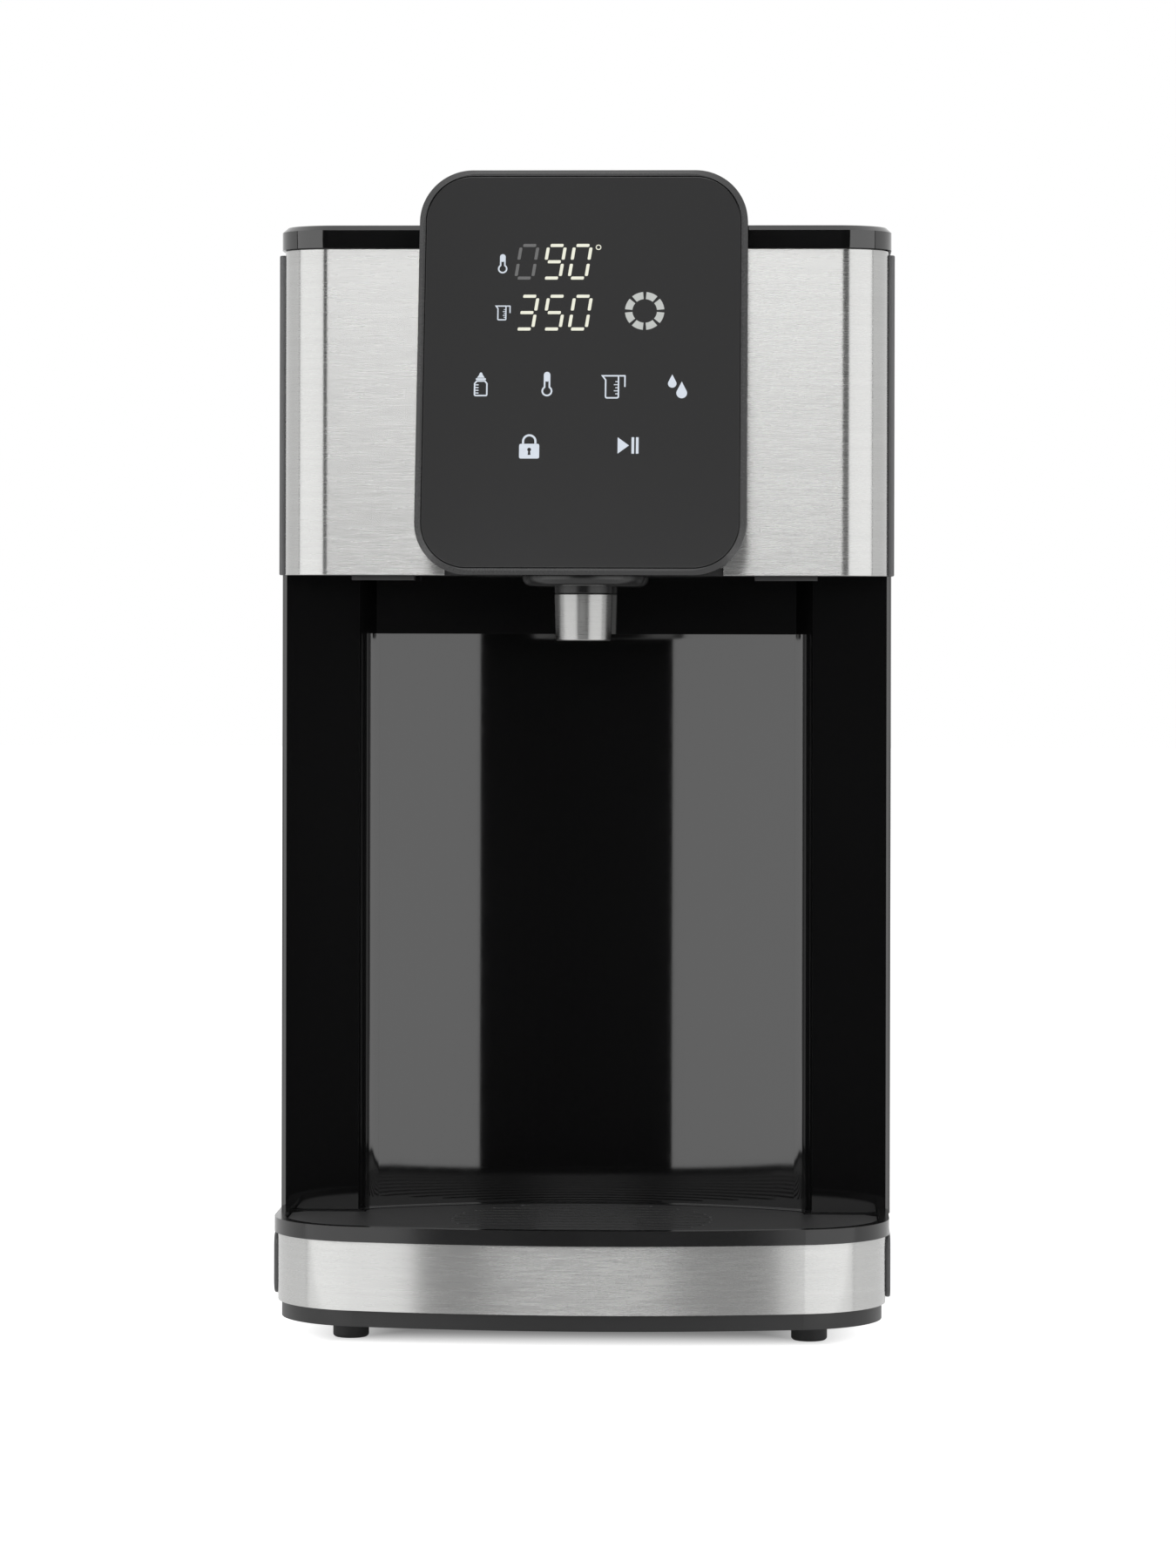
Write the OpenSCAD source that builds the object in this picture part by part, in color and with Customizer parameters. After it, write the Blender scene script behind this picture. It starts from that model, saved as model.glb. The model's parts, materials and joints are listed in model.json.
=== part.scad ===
// Hot water dispenser with a lift-off rear tank, a cup niche and a leaning touch panel.
// Millimetres. X to the right, Y to the back, Z up. The origin is on the table,
// in the middle of the outline. The front of the object looks along -Y.

/* [Body] */
// Width over the two side panels of the column
body_w = 176.8; // [172:0.2:186]
// Depth from the front of the drip tray to the back of the tank lid
body_d = 290; // [284:1:320]
// Height of the cup niche, from the deck of the base to the head
niche_h = 184.3; // [172:0.1:200]
// Height of the steel head
head_h = 93.8; // [88:0.2:104]
// Wall of the moulded shells
shell_t = 2.4; // [2:0.1:3]
// Visible seam between neighbouring shells
seam = 0.2; // [0.1:0.05:0.4]

/* [Base] */
// Height of the rubber feet
foot_h = 5; // [4:0.5:8]
// Radius of a rubber foot
foot_r = 5.1; // [4.5:0.1:6]
// Distance of the feet from the middle
foot_x = 65; // [60:1:68]
// Visible height of the bottom plate
plate_h = 4.6; // [4:0.1:6]
// Height of the steel band
band_h = 19.4; // [18:0.2:24]
// Thickness of the steel band
band_t = 0.8; // [0.6:0.1:1]
// How far the rim of the drip tray stays inside the side panels, at each side
rim_inset = 0.6; // [0.4:0.1:2]
// Height of the rim of the drip tray
rim_h = 4.3; // [4:0.1:6]
// Width of the rim of the drip tray
rim_t = 3; // [2.4:0.1:3.6]
// Height of the deck behind the rim, over the steel band
deck_h = 3; // [2.9:0.1:3.8]
// How far the rim stands out over the band
rim_lip = 1.05; // [0.8:0.05:1.5]
// Radius of the bowed front
bow_r = 290; // [270:5:420]
// Radius of the front corners of the base
base_corner_r = 30; // [24:1:34]
// Radius of the rear corners of the base
rear_corner_r = 10; // [6:1:12]
// Thickness of the side trims
trim_t = 1.45; // [1.2:0.05:2]

/* [Drip tray] */
// Width of the drip basin
basin_w = 124; // [110:1:128]
// Depth of the drip basin, front to back
basin_d = 58; // [52:1:60]
// Wall of the drip tray
tray_t = 1.6; // [1.2:0.1:2]
// Height of the basin under the flange
basin_h = 15; // [12:0.5:15.5]
// Thickness of the grille
grille_t = 1.8; // [1.5:0.05:1.85]
// Distance from slot to slot in the grille
slot_pitch = 6.5; // [5:0.5:8]
// Width of a slot in the grille
slot_w = 2.6; // [2:0.1:3.5]
// Radius of the round field of slots
slot_field_r = 38; // [30:1:39]

/* [Niche] */
// Width of the recess between the pillars
recess_w = 131.6; // [126:0.2:136]
// Depth of the recess behind the pillar faces
recess_d = 23.5; // [20:0.5:26]
// Radius of the hollow back of the recess
recess_r = 128; // [124:1:200]
// Radius of the upright corners of the recess
recess_corner_r = 9; // [8:0.5:12]
// How far the pillar faces lie behind the front of the base
pillar_setback = 59; // [56:1:64]

/* [Head] */
// How far the steel wrap stays inside the side panels, at each side
wrap_inset = 1.1; // [0.8:0.1:2]
// Thickness of the steel wrap
wrap_t = 1; // [0.8:0.1:1.2]
// Radius of the front corners of the head
head_corner_r = 14; // [12:0.5:18]
// How far the head lies behind the front of the base
head_setback = 43; // [41:0.5:46]
// How far the head's side strips stand out over the side panels
strip_proud = 0.8; // [0.5:0.1:1.2]
// Height of the top cover
cover_h = 6.5; // [6:0.1:9]
// How far the top cover stands out over the steel
cover_lip = 0.9; // [0.5:0.1:1.2]
// Bevel on the top edge of the cover
cover_bevel = 1.4; // [1:0.1:1.8]

/* [Control panel] */
// Width of the panel housing
panel_w = 93.8; // [90:0.2:98]
// How far the panel stands above the top cover
panel_rise = 15.6; // [12:0.2:20]
// Radius of the panel's corners
panel_corner_r = 15; // [12:0.5:18]
// How far the foot of the panel stands in front of the head
panel_reach = 31.5; // [31:0.5:34]
// Lean of the panel, in degrees from upright
panel_lean = 13.4; // [11:0.1:14]
// Thickness of the free upper end of the panel
panel_t = 13; // [12:0.5:15]
// Wall of the panel housing
panel_wall = 2.2; // [1.8:0.1:2.6]
// Visible rim round the glass
glass_rim = 2; // [1.8:0.1:2.6]
// Thickness of the glass
glass_t = 2; // [1.6:0.1:2.4]
// Distance from key to key in the upper row
key_pitch = 18.7; // [17:0.1:19]
// Distance between the two keys of the lower row
key_pitch_low = 28; // [24:0.5:32]
// Radius of the soft contact behind a key
key_r = 3.6; // [3:0.1:4]
// Distance from digit to digit in the display
digit_pitch = 8; // [7.5:0.1:8.5]

/* [Outlet] */
// How far the nozzle's axis lies in front of the pillar faces
nozzle_reach = 18; // [17.6:0.1:19]
// Radius of the nozzle's rosette
rosette_r = 17.5; // [15:0.5:17.6]
// Height of the rosette
rosette_h = 3; // [3:0.1:4]
// Outer radius of the steel sleeve at its top
sleeve_r = 8.3; // [8:0.1:9]
// Height of the steel sleeve
sleeve_h = 13.6; // [12:0.1:16]
// Height of the black collar between rosette and sleeve
collar_h = 2.1; // [1.6:0.1:3]
// Width of the outlet block
block_w = 121.8; // [112:0.2:124]
// Height of the outlet block
block_h = 16.9; // [14:0.1:20]

/* [Tank] */
// Thickness of the tank's walls
tank_t = 2.4; // [2:0.1:3]
// Gap between the tank and the rear wall
tank_gap = 1; // [0.8:0.1:1.5]
// Depth of the column from the pillar faces to its rear wall
column_d = 113; // [110:1:118]
// Radius of the tank's rear corners
tank_corner_r = 22; // [16:1:28]
// Radius of the tank's front corners
tank_front_r = 6; // [4:0.5:8]
// Height of the tank floor over the deck
tank_floor_h = 4; // [3.5:0.1:5]
// Radius of the lid's hinge barrel
barrel_r = 3.2; // [3:0.1:3.6]
// Radius of the hinge pins
hinge_pin_r = 1.5; // [1.2:0.1:1.8]
// Distance of the valve from the rear wall
valve_back = 43; // [40:1:50]
// Radius of the valve neck
valve_r = 12; // [11:0.5:13]
// Travel of the valve plunger
valve_travel = 4; // [3:0.5:5]
// Travel of the level float
float_travel = 30; // [20:1:40]
// Radius of the level float
float_r = 10; // [8:0.5:11]

/* [Water path] */
// Outer radius of the hoses
hose_r = 4.5; // [4:0.1:5]
// Bore radius of the hoses
hose_bore_r = 2.8; // [2.4:0.1:3]
// Bend radius of the hoses, on the middle line
hose_bend_r = 12; // [10:0.5:13]
// Radius of the heater tube
heater_r = 18; // [16:0.5:20]
// Length of the heater tube
heater_len = 110; // [100:1:116]
// Radius of the pump chamber's outside
pump_r = 20; // [18:0.5:21]
// Radius of the pump motor
motor_r = 13.9; // [12:0.1:14.5]
// Radius of the flow meter
meter_r = 16; // [14:0.5:18]
// Radius of the impeller's and the turbine's shaft
shaft_r = 1.5; // [1.2:0.1:1.8]

/* [Clearances] */
// Gap on the radius between a shaft or pin and its bore
run_gap = 0.06; // [0.03:0.01:0.09]
// Gap between pieces that lift off and what they sit in
lift_gap = 0.4; // [0.3:0.05:0.6]
// Gap round pieces that drop into a pocket
fit_gap = 0.2; // [0.1:0.05:0.3]

/* [Hidden] */
$fn = 72;
big_fn = 288;
eps = 0.01;
far = 400;

// levels, from the table up
z_plate = foot_h;
z_band = z_plate + plate_h;
z_rim = z_band + band_h;
z_rim_top = z_rim + rim_h;
z_deck = z_rim + deck_h;
z_head = z_deck + niche_h;
z_steel_top = z_head + head_h;
z_cover = z_steel_top + seam;
z_cover_top = z_cover + cover_h;
z_panel_top = z_cover_top + panel_rise;

// places along Y, from the front to the back
y_front = -body_d / 2;
y_pillar = y_front + pillar_setback;
y_head = y_front + head_setback;
y_recess = y_pillar + recess_d;
y_wall = y_pillar + column_d;
y_wall_in = y_wall - shell_t;
y_tank = y_wall + tank_gap;
y_back = body_d / 2;
lid_skirt_t = 1.6;
y_tank_back = y_back - lid_skirt_t - lift_gap;
base_back = y_tank_back;

// half widths
side_x = body_w / 2;
rim_w = body_w - 2 * rim_inset;
wrap_w = body_w - 2 * wrap_inset;
strip_x = side_x + strip_proud;
band_x = rim_w / 2 - rim_lip;
wrap_x = wrap_w / 2;
frame_x = wrap_x - wrap_t;
cover_x = wrap_x + cover_lip;
tank_x = cover_x - lid_skirt_t - lift_gap;

// base
plate_inset = rim_lip + 1.1;
seam_y = y_front + 41;
well_floor_z = z_rim - basin_h - lift_gap;
well_gap = 0.8;
basin_y = y_front + 42;
basin_corner_r = 14;
flange_t = 1;
screw_places = [
    for (sx = [-1, 1]) for (place = [[side_x - 8.4, y_front + 46], [side_x - 14.4, base_back - 47]])
        [sx * place[0], place[1]]
];
screw_r = 1.25;
screw_head_r = 2.9;
gland_x = side_x - 32.4;
gland_z = (z_plate + z_deck) / 2;
gland_w = 12;
gland_corner_r = 1.5;
cord_hole_r = 3.6;

// head
frame_t = 2.2;
wrap_end_y = y_head + head_corner_r + 4;
panel_hole_x = panel_w / 2 - 6.9;
panel_hole_top = z_steel_top - 9;
clip_w = 18;
clip_x = block_w / 2 - 2.9;

// panel
glass_sink = 0.1;
panel_shelf = 1.8;
light_depth = 3;
window_inset = 14;
key_row_z = z_head + 54;
key_row_low_z = z_head + 36.6;
key_shift = -1.4;
display_x = 30;
display_top = z_panel_top - 17;
display_h = 34;
digit_w = 6;
digit_h = 11;
digit_row = 15;
ring_x = 18;
ring_r = 6.5;

// nozzle
y_nozzle = y_pillar - nozzle_reach;
collar_r = sleeve_r - 0.05;
z_collar = z_head - rosette_h - collar_h;
z_sleeve = z_collar - sleeve_h;
sleeve_t = 2.1;
insert_r = 4.5;
drip_hole_r = 2.6;
z_hose_end = z_head + shell_t + 1.5;
barb_top = z_hose_end + 10;

// tank and lid
z_tank_floor = z_deck + tank_floor_h;
tank_floor_t = 3;
z_tank_in = z_tank_floor + tank_floor_t;
hinge_y = y_tank + barrel_r + 0.3;
hinge_z = z_cover_top - barrel_r;
lid_t = 2.4;
z_tank_rim = z_cover_top - lid_t - lift_gap;
ear_w = 6.2;
ear_x = tank_x - ear_w;
lid_side_y = hinge_y + barrel_r + 0.7;
pin_len = 14;

// valve, float and socket
valve_y = y_wall + valve_back;
neck_bottom = z_deck - 3;
valve_flange_r = valve_r + 4;
valve_flange_t = 2;
valve_bore_r = valve_r - 3.5;
z_seat = z_tank_in + valve_flange_t;
seal_t = 1;
disc_t = 2;
stem_r = 2;
spring_r = 5;
wire_r = 0.5;
spring_turns = 5;
spring_packed = 9;
cage_top_z = z_seat + seal_t + disc_t + valve_travel + spring_packed;
cage_t = 2;
z_disc = z_seat + 0.05 + seal_t;
stem_bottom = neck_bottom + 1.6;
stem_top = cage_top_z + cage_t + 0.5;
float_x = tank_x - 36.2;
float_y = y_tank + 17;
float_h = 16;
post_r = 3;
socket_r = 16;
socket_flange_t = 1.5;
socket_well_r = valve_r + 0.7;
socket_floor_z = z_band + 4.6;
pin_top = stem_bottom - 0.3;

// water path
hose_z = z_band + 9;
hose_rise = 32;
pump_x = -side_x + 38.4;
pump_y = y_pillar + 71;
z_pump = z_deck + 6.7;
pump_base_t = 3;
chamber_h = 10;
meter_x = pump_x + 70;
meter_y = pump_y;
meter_z = z_deck + 85;
meter_len = 16;
meter_wall = 2;
heater_y = pump_y;
heater_z = z_head + 46;
heater_wall = 2;
strap_x = heater_len / 2 - 20;
strap_w = 10;
cutout_x = heater_len / 2 - 41;
cap_len = 12;
cap_x = heater_len / 2 + cap_len / 2;
barb_r = hose_bore_r;
barb_bore_r = 1.6;
barb_len = 9;
motor_h = 38;
board_t = 1.6;
power_board_y = y_wall_in - 10;
board_w = 92;
board_h = 54;
board_x1 = side_x - 10.4;
board_x0 = board_x1 - board_w;
board_z0 = z_deck + 120;
board_z1 = board_z0 + board_h;

// Flat shapes

// Rectangle with rounded corners, centred
module rounded_rect(w, d, r) {
    square([w - 2 * r, d], center = true);
    square([w, d - 2 * r], center = true);
    for (sx = [-1, 1])
        for (sy = [-1, 1])
            translate([sx * (w / 2 - r), sy * (d / 2 - r)]) circle(r = r);
}

function to_micron(v) = round(v * 1000) / 1000;

// Plan with a bowed front edge at y0, two rounded front corners and a rear edge at y1.
// The bow stops just short of the corner circles, so that no two arcs run on each other.
module bowed_plan(w, y0, bow, corner, y1, rear_r, inset = 0) {
    half = w / 2 - inset;
    arc_r = bow - inset;
    corner_r = max(corner - inset, 1);
    back_r = max(rear_r - inset, 0.5);
    back = y1 - inset;
    centre_y = y0 + bow;
    corner_x = half - corner_r;
    corner_y = to_micron(centre_y - sqrt(pow(arc_r - corner_r, 2) - pow(corner_x, 2)));
    bow_x = to_micron(corner_x * arc_r / (arc_r - corner_r) - 0.5);
    intersection() {
        translate([0, centre_y]) circle(r = arc_r, $fn = big_fn);
        translate([-bow_x, y0 + inset - 1]) square([2 * bow_x, back - y0 - inset + 1]);
    }
    for (side = [-1, 1]) {
        translate([side * corner_x, corner_y]) circle(r = corner_r);
        translate([side * (half - back_r), back - back_r]) circle(r = back_r);
    }
    translate([-half, corner_y]) square([2 * half, back - back_r - corner_y]);
    translate([-half + back_r, corner_y]) square([2 * (half - back_r), back - corner_y]);
}

// Slot with round ends, centred, from left to right
module slot(length, width) {
    square([length - width, width], center = true);
    for (side = [-1, 1])
        translate([side * (length - width) / 2, 0]) circle(r = width / 2, $fn = 24);
}

// Plan with a flat front at y0 and two rounded front corners
module flat_front_plan(w, y0, corner, y1, inset = 0) {
    half = w / 2 - inset;
    r = corner - inset;
    front = y0 + inset;
    translate([-half + r, front]) square([2 * (half - r), y1 - front]);
    translate([-half, front + r]) square([2 * half, y1 - front - r]);
    for (side = [-1, 1])
        translate([side * (half - r), front + r]) circle(r = r);
}

// Everything in front of, or behind, a line across the object
module ahead_of(y) {
    translate([-far / 2, y - far]) square([far, far]);
}

module behind(y) {
    translate([-far / 2, y]) square([far, far]);
}

module base_plan(inset = 0) {
    bowed_plan(rim_w, y_front, bow_r, base_corner_r, base_back, rear_corner_r, inset);
}

// The recess seen from above, with its bowed edge at the back
module recess_plan(inset = 0) {
    rotate(180)
        bowed_plan(recess_w, -y_recess, recess_r, recess_corner_r, -y_pillar + far / 4, 1, inset);
}

module head_plan(inset = 0, back = y_wall) {
    flat_front_plan(wrap_w, y_head, head_corner_r, back, inset);
}

// Housing outline: under the band in front, flush with the band behind the seam
module housing_plan(inset = 0) {
    base_plan(rim_lip + band_t + inset);
    intersection() {
        base_plan(rim_lip + inset);
        behind(seam_y + seam);
    }
}

// The drip tray reaches from the rim into the recess
module tray_plan(inset = 0) {
    intersection() {
        base_plan(inset);
        ahead_of(y_pillar - lift_gap - inset);
    }
    intersection() {
        recess_plan(lift_gap + inset);
        behind(y_pillar - 10);
    }
}

module basin_plan(inset = 0) {
    translate([0, basin_y])
        rounded_rect(basin_w - 2 * inset, basin_d - 2 * inset, basin_corner_r - inset);
}

module tank_plan(inset = 0) {
    w = 2 * (tank_x - inset);
    front = y_tank + inset;
    back = y_tank_back - inset;
    fr = tank_front_r - inset;
    br = tank_corner_r - inset;
    half = w / 2;
    translate([-half, front + fr]) square([w, back - br - front - fr]);
    translate([-half + fr, front]) square([w - 2 * fr, back - br - front]);
    translate([-half + br, front + fr]) square([w - 2 * br, back - front - fr]);
    for (side = [-1, 1]) {
        translate([side * (half - fr), front + fr]) circle(r = fr);
        translate([side * (half - br), back - br]) circle(r = br);
    }
}

// Solids from shared shapes

module slab(z0, z1) {
    translate([0, 0, z0]) linear_extrude(z1 - z0) children();
}

module along_x(x0, x1, y, z, r) {
    translate([x0, y, z]) rotate([0, 90, 0]) cylinder(r = r, h = x1 - x0);
}

module along_y(x, y0, y1, z, r) {
    translate([x, y0, z]) rotate([-90, 0, 0]) cylinder(r = r, h = y1 - y0);
}

module along_z(x, y, z0, z1, r) {
    translate([x, y, z0]) cylinder(r = r, h = z1 - z0);
}

module block(low, high) {
    translate(low) cube(high - low);
}

// A hose runs straight between its corners and bends with one radius at each of them
function unit(v) = v / norm(v);

module straight_run(from, to, r) {
    v = to - from;
    turn_y = acos(v[2] / norm(v));
    turn_z = atan2(v[1], v[0]);
    translate(from) rotate([0, turn_y, turn_z]) cylinder(r = r, h = norm(v), $fn = 32);
}

module bend(corner, dir_in, dir_out, bend_r, r) {
    c = corner - bend_r * dir_in + bend_r * dir_out;
    n = cross(-dir_out, dir_in);
    multmatrix([
        [-dir_out[0], dir_in[0], n[0], c[0]],
        [-dir_out[1], dir_in[1], n[1], c[1]],
        [-dir_out[2], dir_in[2], n[2], c[2]],
        [0, 0, 0, 1]
    ])
        rotate_extrude(angle = 90) translate([bend_r, 0]) circle(r = r, $fn = 32);
}

module route(points, r) {
    last = len(points) - 1;
    for (i = [0 : last - 1]) {
        dir = unit(points[i + 1] - points[i]);
        start = i == 0 ? points[i] : points[i] + hose_bend_r * dir;
        stop = i == last - 1 ? points[i + 1] : points[i + 1] - hose_bend_r * dir;
        straight_run(start, stop, r);
    }
    for (i = [1 : last - 1])
        bend(points[i], unit(points[i] - points[i - 1]), unit(points[i + 1] - points[i]), hose_bend_r, r);
}

module hose(points) {
    color("gainsboro") difference() {
        route(points, hose_r);
        route(points, hose_bore_r);
    }
}

// Base

module base_housing() {
    color("#1b1b1c") difference() {
        union() {
            slab(z_band, z_rim) housing_plan();
            slab(z_rim, z_deck) intersection() {
                housing_plan();
                behind(y_pillar);
            }
        }
        base_hollow();
        base_well();
        // hole for the tank socket and for the hose to the pump
        along_z(0, valve_y, z_rim - shell_t, z_deck + 1, socket_r + fit_gap);
        along_z(pump_x, pump_y, z_rim - shell_t, z_deck + 1, hose_r + 2);
        gland_neck(base_back - 4 * shell_t, base_back + 1);
    }
    color("#1b1b1c") difference() {
        well_wall();
        base_well();
    }
    for (place = screw_places)
        color("#1b1b1c") difference() {
            along_z(place[0], place[1], z_band, (place[1] > y_pillar ? z_deck : z_rim) - shell_t, 3.4);
            along_z(place[0], place[1], z_band - 1, z_band + 11, screw_r + 0.05);
        }
}

// Space inside the base: lower in front, where the tray lies on top
module base_hollow() {
    slab(z_band - 1, z_rim - shell_t) housing_plan(shell_t);
    slab(z_band - 1, z_deck - shell_t) difference() {
        intersection() {
            housing_plan(shell_t);
            behind(y_pillar + shell_t);
        }
        recess_plan(-2 * shell_t);
    }
}

module base_well() {
    slab(z_rim, z_deck + 1) tray_plan(-lift_gap / 2);
    slab(well_floor_z, z_deck + 1) basin_plan(-well_gap);
}

module well_wall() {
    slab(well_floor_z - shell_t, z_rim - shell_t + eps) basin_plan(-well_gap - 2);
}

module base_plate() {
    color("#202021") difference() {
        union() {
            difference() {
                slab(z_plate, z_band) base_plan(plate_inset);
                slab(z_plate + shell_t, z_band + 1) base_plan(plate_inset + shell_t);
            }
            for (place = screw_places)
                along_z(place[0], place[1], z_plate, z_band, 5);
        }
        for (place = screw_places) {
            along_z(place[0], place[1], z_plate - 1, z_plate + shell_t, screw_head_r + 0.3);
            along_z(place[0], place[1], z_plate, z_band + 1, screw_r + 0.4);
        }
        for (place = foot_places())
            along_z(place[0], place[1], z_plate - 1, z_band, foot_r - 2);
        for (i = [-4 : 4])
            translate([i * 9, 10, z_plate - 1])
                linear_extrude(shell_t + 2) rotate(90) slot(44, 3);
    }
}

function foot_places() = [
    for (sx = [-1, 1]) for (y = [y_front + 26, base_back - 24]) [sx * foot_x, y]
];

module base_band() {
    color("silver") slab(z_band, z_rim) intersection() {
        difference() {
            base_plan(rim_lip);
            base_plan(rim_lip + band_t);
        }
        ahead_of(seam_y);
    }
}

// Strip with rounded ends on the flat side of the base, from just behind the corner
module base_trim(side) {
    front = y_front + 37;
    back = base_back - rear_corner_r - 2;
    color("#242425") translate([side > 0 ? band_x : -band_x - trim_t, (front + back) / 2, (z_band + z_rim) / 2])
        rotate([90, 0, 90]) linear_extrude(trim_t)
            rounded_rect(back - front, band_h - 1.4, 4);
}

module base_trim_left() {
    base_trim(-1);
}

module base_trim_right() {
    base_trim(1);
}

// Each foot is snapped through the bottom plate: pad, stem and mushroom head
module rubber_feet() {
    color("#2c2c2c") for (place = foot_places())
        translate([place[0], place[1], 0]) rotate_extrude() polygon([
            [0, 0], [foot_r - 0.6, 0], [foot_r, 0.6], [foot_r, z_plate], [foot_r - 2, z_plate],
            [foot_r - 2, z_plate + shell_t], [foot_r - 0.8, z_plate + shell_t],
            [foot_r - 2.2, z_plate + shell_t + 1.6], [0, z_plate + shell_t + 1.6]
        ]);
}

module base_screws() {
    color("silver") for (place = screw_places)
        difference() {
            union() {
                along_z(place[0], place[1], z_plate + 0.6, z_plate + shell_t, screw_head_r);
                along_z(place[0], place[1], z_plate + shell_t, z_band + 9, screw_r);
            }
            for (turn = [0, 90])
                translate([place[0], place[1], z_plate]) rotate(turn)
                    cube([3.2, 0.8, 2.8], center = true);
        }
}

// Square neck of the cord bushing, and the hole that it lies in
module gland_neck(y0, y1) {
    translate([gland_x, y1, gland_z]) rotate([90, 0, 0])
        linear_extrude(y1 - y0) rounded_rect(gland_w, gland_w, gland_corner_r);
}

// Rubber bushing that grips the rear wall; its square neck keeps the cord from turning it
module cord_gland() {
    wall_in = base_back - rim_lip - shell_t;
    wall_out = base_back - rim_lip;
    half = gland_w / 2;
    color("#2c2c2c") difference() {
        union() {
            gland_neck(wall_in, wall_out);
            translate([gland_x, 0, gland_z]) rotate([-90, 0, 0]) rotate_extrude() {
                polygon([
                    [0, wall_in - 5], [half - 1.2, wall_in - 5], [half + 1.6, wall_in - 1.5],
                    [half + 1.6, wall_in], [0, wall_in]
                ]);
                polygon([
                    [0, wall_out], [half + 2.4, wall_out], [half + 1.8, wall_out + 2.4], [0, wall_out + 2.4]
                ]);
            }
        }
        along_y(gland_x, wall_in - 6, wall_out + 3, gland_z, cord_hole_r);
    }
}

// Drip tray and grille

module drip_tray() {
    color("#232324") {
        slab(z_rim, z_rim_top) difference() {
            intersection() {
                base_plan();
                ahead_of(y_pillar - lift_gap);
            }
            base_plan(rim_t);
        }
        slab(z_rim, z_deck) difference() {
            tray_plan();
            tray_plan(tray_t);
        }
        slab(z_rim, z_rim + flange_t) difference() {
            tray_plan();
            basin_plan(tray_t);
        }
        slab(z_rim - basin_h, z_rim) difference() {
            basin_plan();
            basin_plan(tray_t);
        }
        slab(z_rim - basin_h, z_rim - basin_h + tray_t) basin_plan();
    }
}

// Plate with a round field of slots that run from left to right, cut off at its rear corners
module drip_grille() {
    z0 = z_rim + flange_t;
    rows = floor(slot_field_r / slot_pitch - 0.3);
    rear_y = y_pillar - 2 * lift_gap - tray_t;
    rear_x = rim_w / 2 - rim_t - lift_gap;
    cut = 3.5;
    color("#2a2a2b") difference() {
        slab(z0, z0 + grille_t) intersection() {
            tray_plan(tray_t + lift_gap);
            base_plan(rim_t + lift_gap);
        }
        for (side = [-1, 1])
            slab(z0 - 1, z0 + grille_t + 1) polygon([
                [side * (rear_x - cut), rear_y + 1], [side * (rear_x - cut), rear_y],
                [side * rear_x, rear_y - cut], [side * (rear_x + 1), rear_y - cut],
                [side * (rear_x + 1), rear_y + 1]
            ]);
        for (i = [-rows : rows]) {
            half = sqrt(pow(slot_field_r, 2) - pow(i * slot_pitch, 2));
            if (basin_y + i * slot_pitch < y_recess - 6)
                translate([0, basin_y + i * slot_pitch, z0 - 1])
                    linear_extrude(grille_t + 2) slot(2 * half, slot_w);
        }
    }
}

// Column

// One moulding: two pillar faces, the hollow recess between them and short side returns
module niche_wall() {
    return_d = 6;
    color("#0c0c0d") slab(z_deck, z_head) difference() {
        union() {
            flat_front_column();
            intersection() {
                recess_plan(-shell_t);
                behind(y_pillar);
            }
        }
        recess_plan();
    }
    module flat_front_column() {
        intersection() {
            difference() {
                flat_front_plan(body_w, y_pillar, 1.6, y_wall);
                flat_front_plan(body_w, y_pillar, shell_t + 0.4, y_wall, shell_t);
            }
            ahead_of(y_pillar + return_d);
        }
    }
}

module side_panel(side) {
    front = y_pillar + 6 + seam;
    x0 = side > 0 ? side_x - shell_t : -side_x;
    color("#161617") {
        block([x0, front, z_deck], [x0 + shell_t, y_wall, z_head]);
        // stiffening ribs on the inside
        for (z = [z_deck + niche_h / 4, z_deck + niche_h / 2, z_deck + 3 * niche_h / 4])
            block([side > 0 ? x0 - 1.5 : x0 + shell_t, front + 14, z],
                  [side > 0 ? x0 : x0 + shell_t + 1.5, y_wall_in - 12, z + 1.6]);
    }
}

module side_panel_left() {
    side_panel(-1);
}

module side_panel_right() {
    side_panel(1);
}

// Rear wall with posts for the power board
module rear_wall() {
    color("#161617") {
        block([-side_x + shell_t + seam, y_wall_in, z_deck], [side_x - shell_t - seam, y_wall, z_head]);
        block([-frame_x + seam, y_wall_in, z_head], [frame_x - seam, y_wall, z_steel_top]);
        post_in = 5;
        for (x = [board_x0 + post_in, board_x1 - post_in])
            for (z = [board_z0 + post_in, board_z1 - post_in])
                along_y(x, power_board_y + board_t, y_wall_in, z, 3);
    }
}

// Head

module head_frame() {
    color("#1a1a1b") difference() {
        slab(z_head + shell_t, z_cover) difference() {
            head_plan(wrap_t, y_wall_in);
            head_plan(wrap_t + frame_t, y_wall_in + 1);
        }
        panel_opening();
    }
}

// Opening in the front of the head, hidden behind the panel
module panel_opening() {
    block([-panel_hole_x, y_head - 5, z_head - 5], [panel_hole_x, y_head + 8, panel_hole_top]);
}

module steel_wrap() {
    color("silver") difference() {
        slab(z_head, z_steel_top) intersection() {
            difference() {
                head_plan();
                head_plan(wrap_t);
            }
            ahead_of(wrap_end_y);
        }
        panel_opening();
    }
}

// Side strip over the end of the steel, with a rounded front edge
module head_side(side) {
    front = y_head + head_corner_r + 0.4;
    color("#3a3a3c") slab(z_head, z_steel_top - 1) intersection() {
        difference() {
            flat_front_plan(2 * strip_x, front, 1.2, y_wall);
            translate([-wrap_x, front - 1]) square([2 * wrap_x, wrap_end_y + seam - front + 1]);
            translate([-frame_x, front - 1]) square([2 * frame_x, far]);
        }
        translate([side > 0 ? 0 : -far, -far / 2]) square([far, far]);
    }
}

module head_side_left() {
    head_side(-1);
}

module head_side_right() {
    head_side(1);
}

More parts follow.
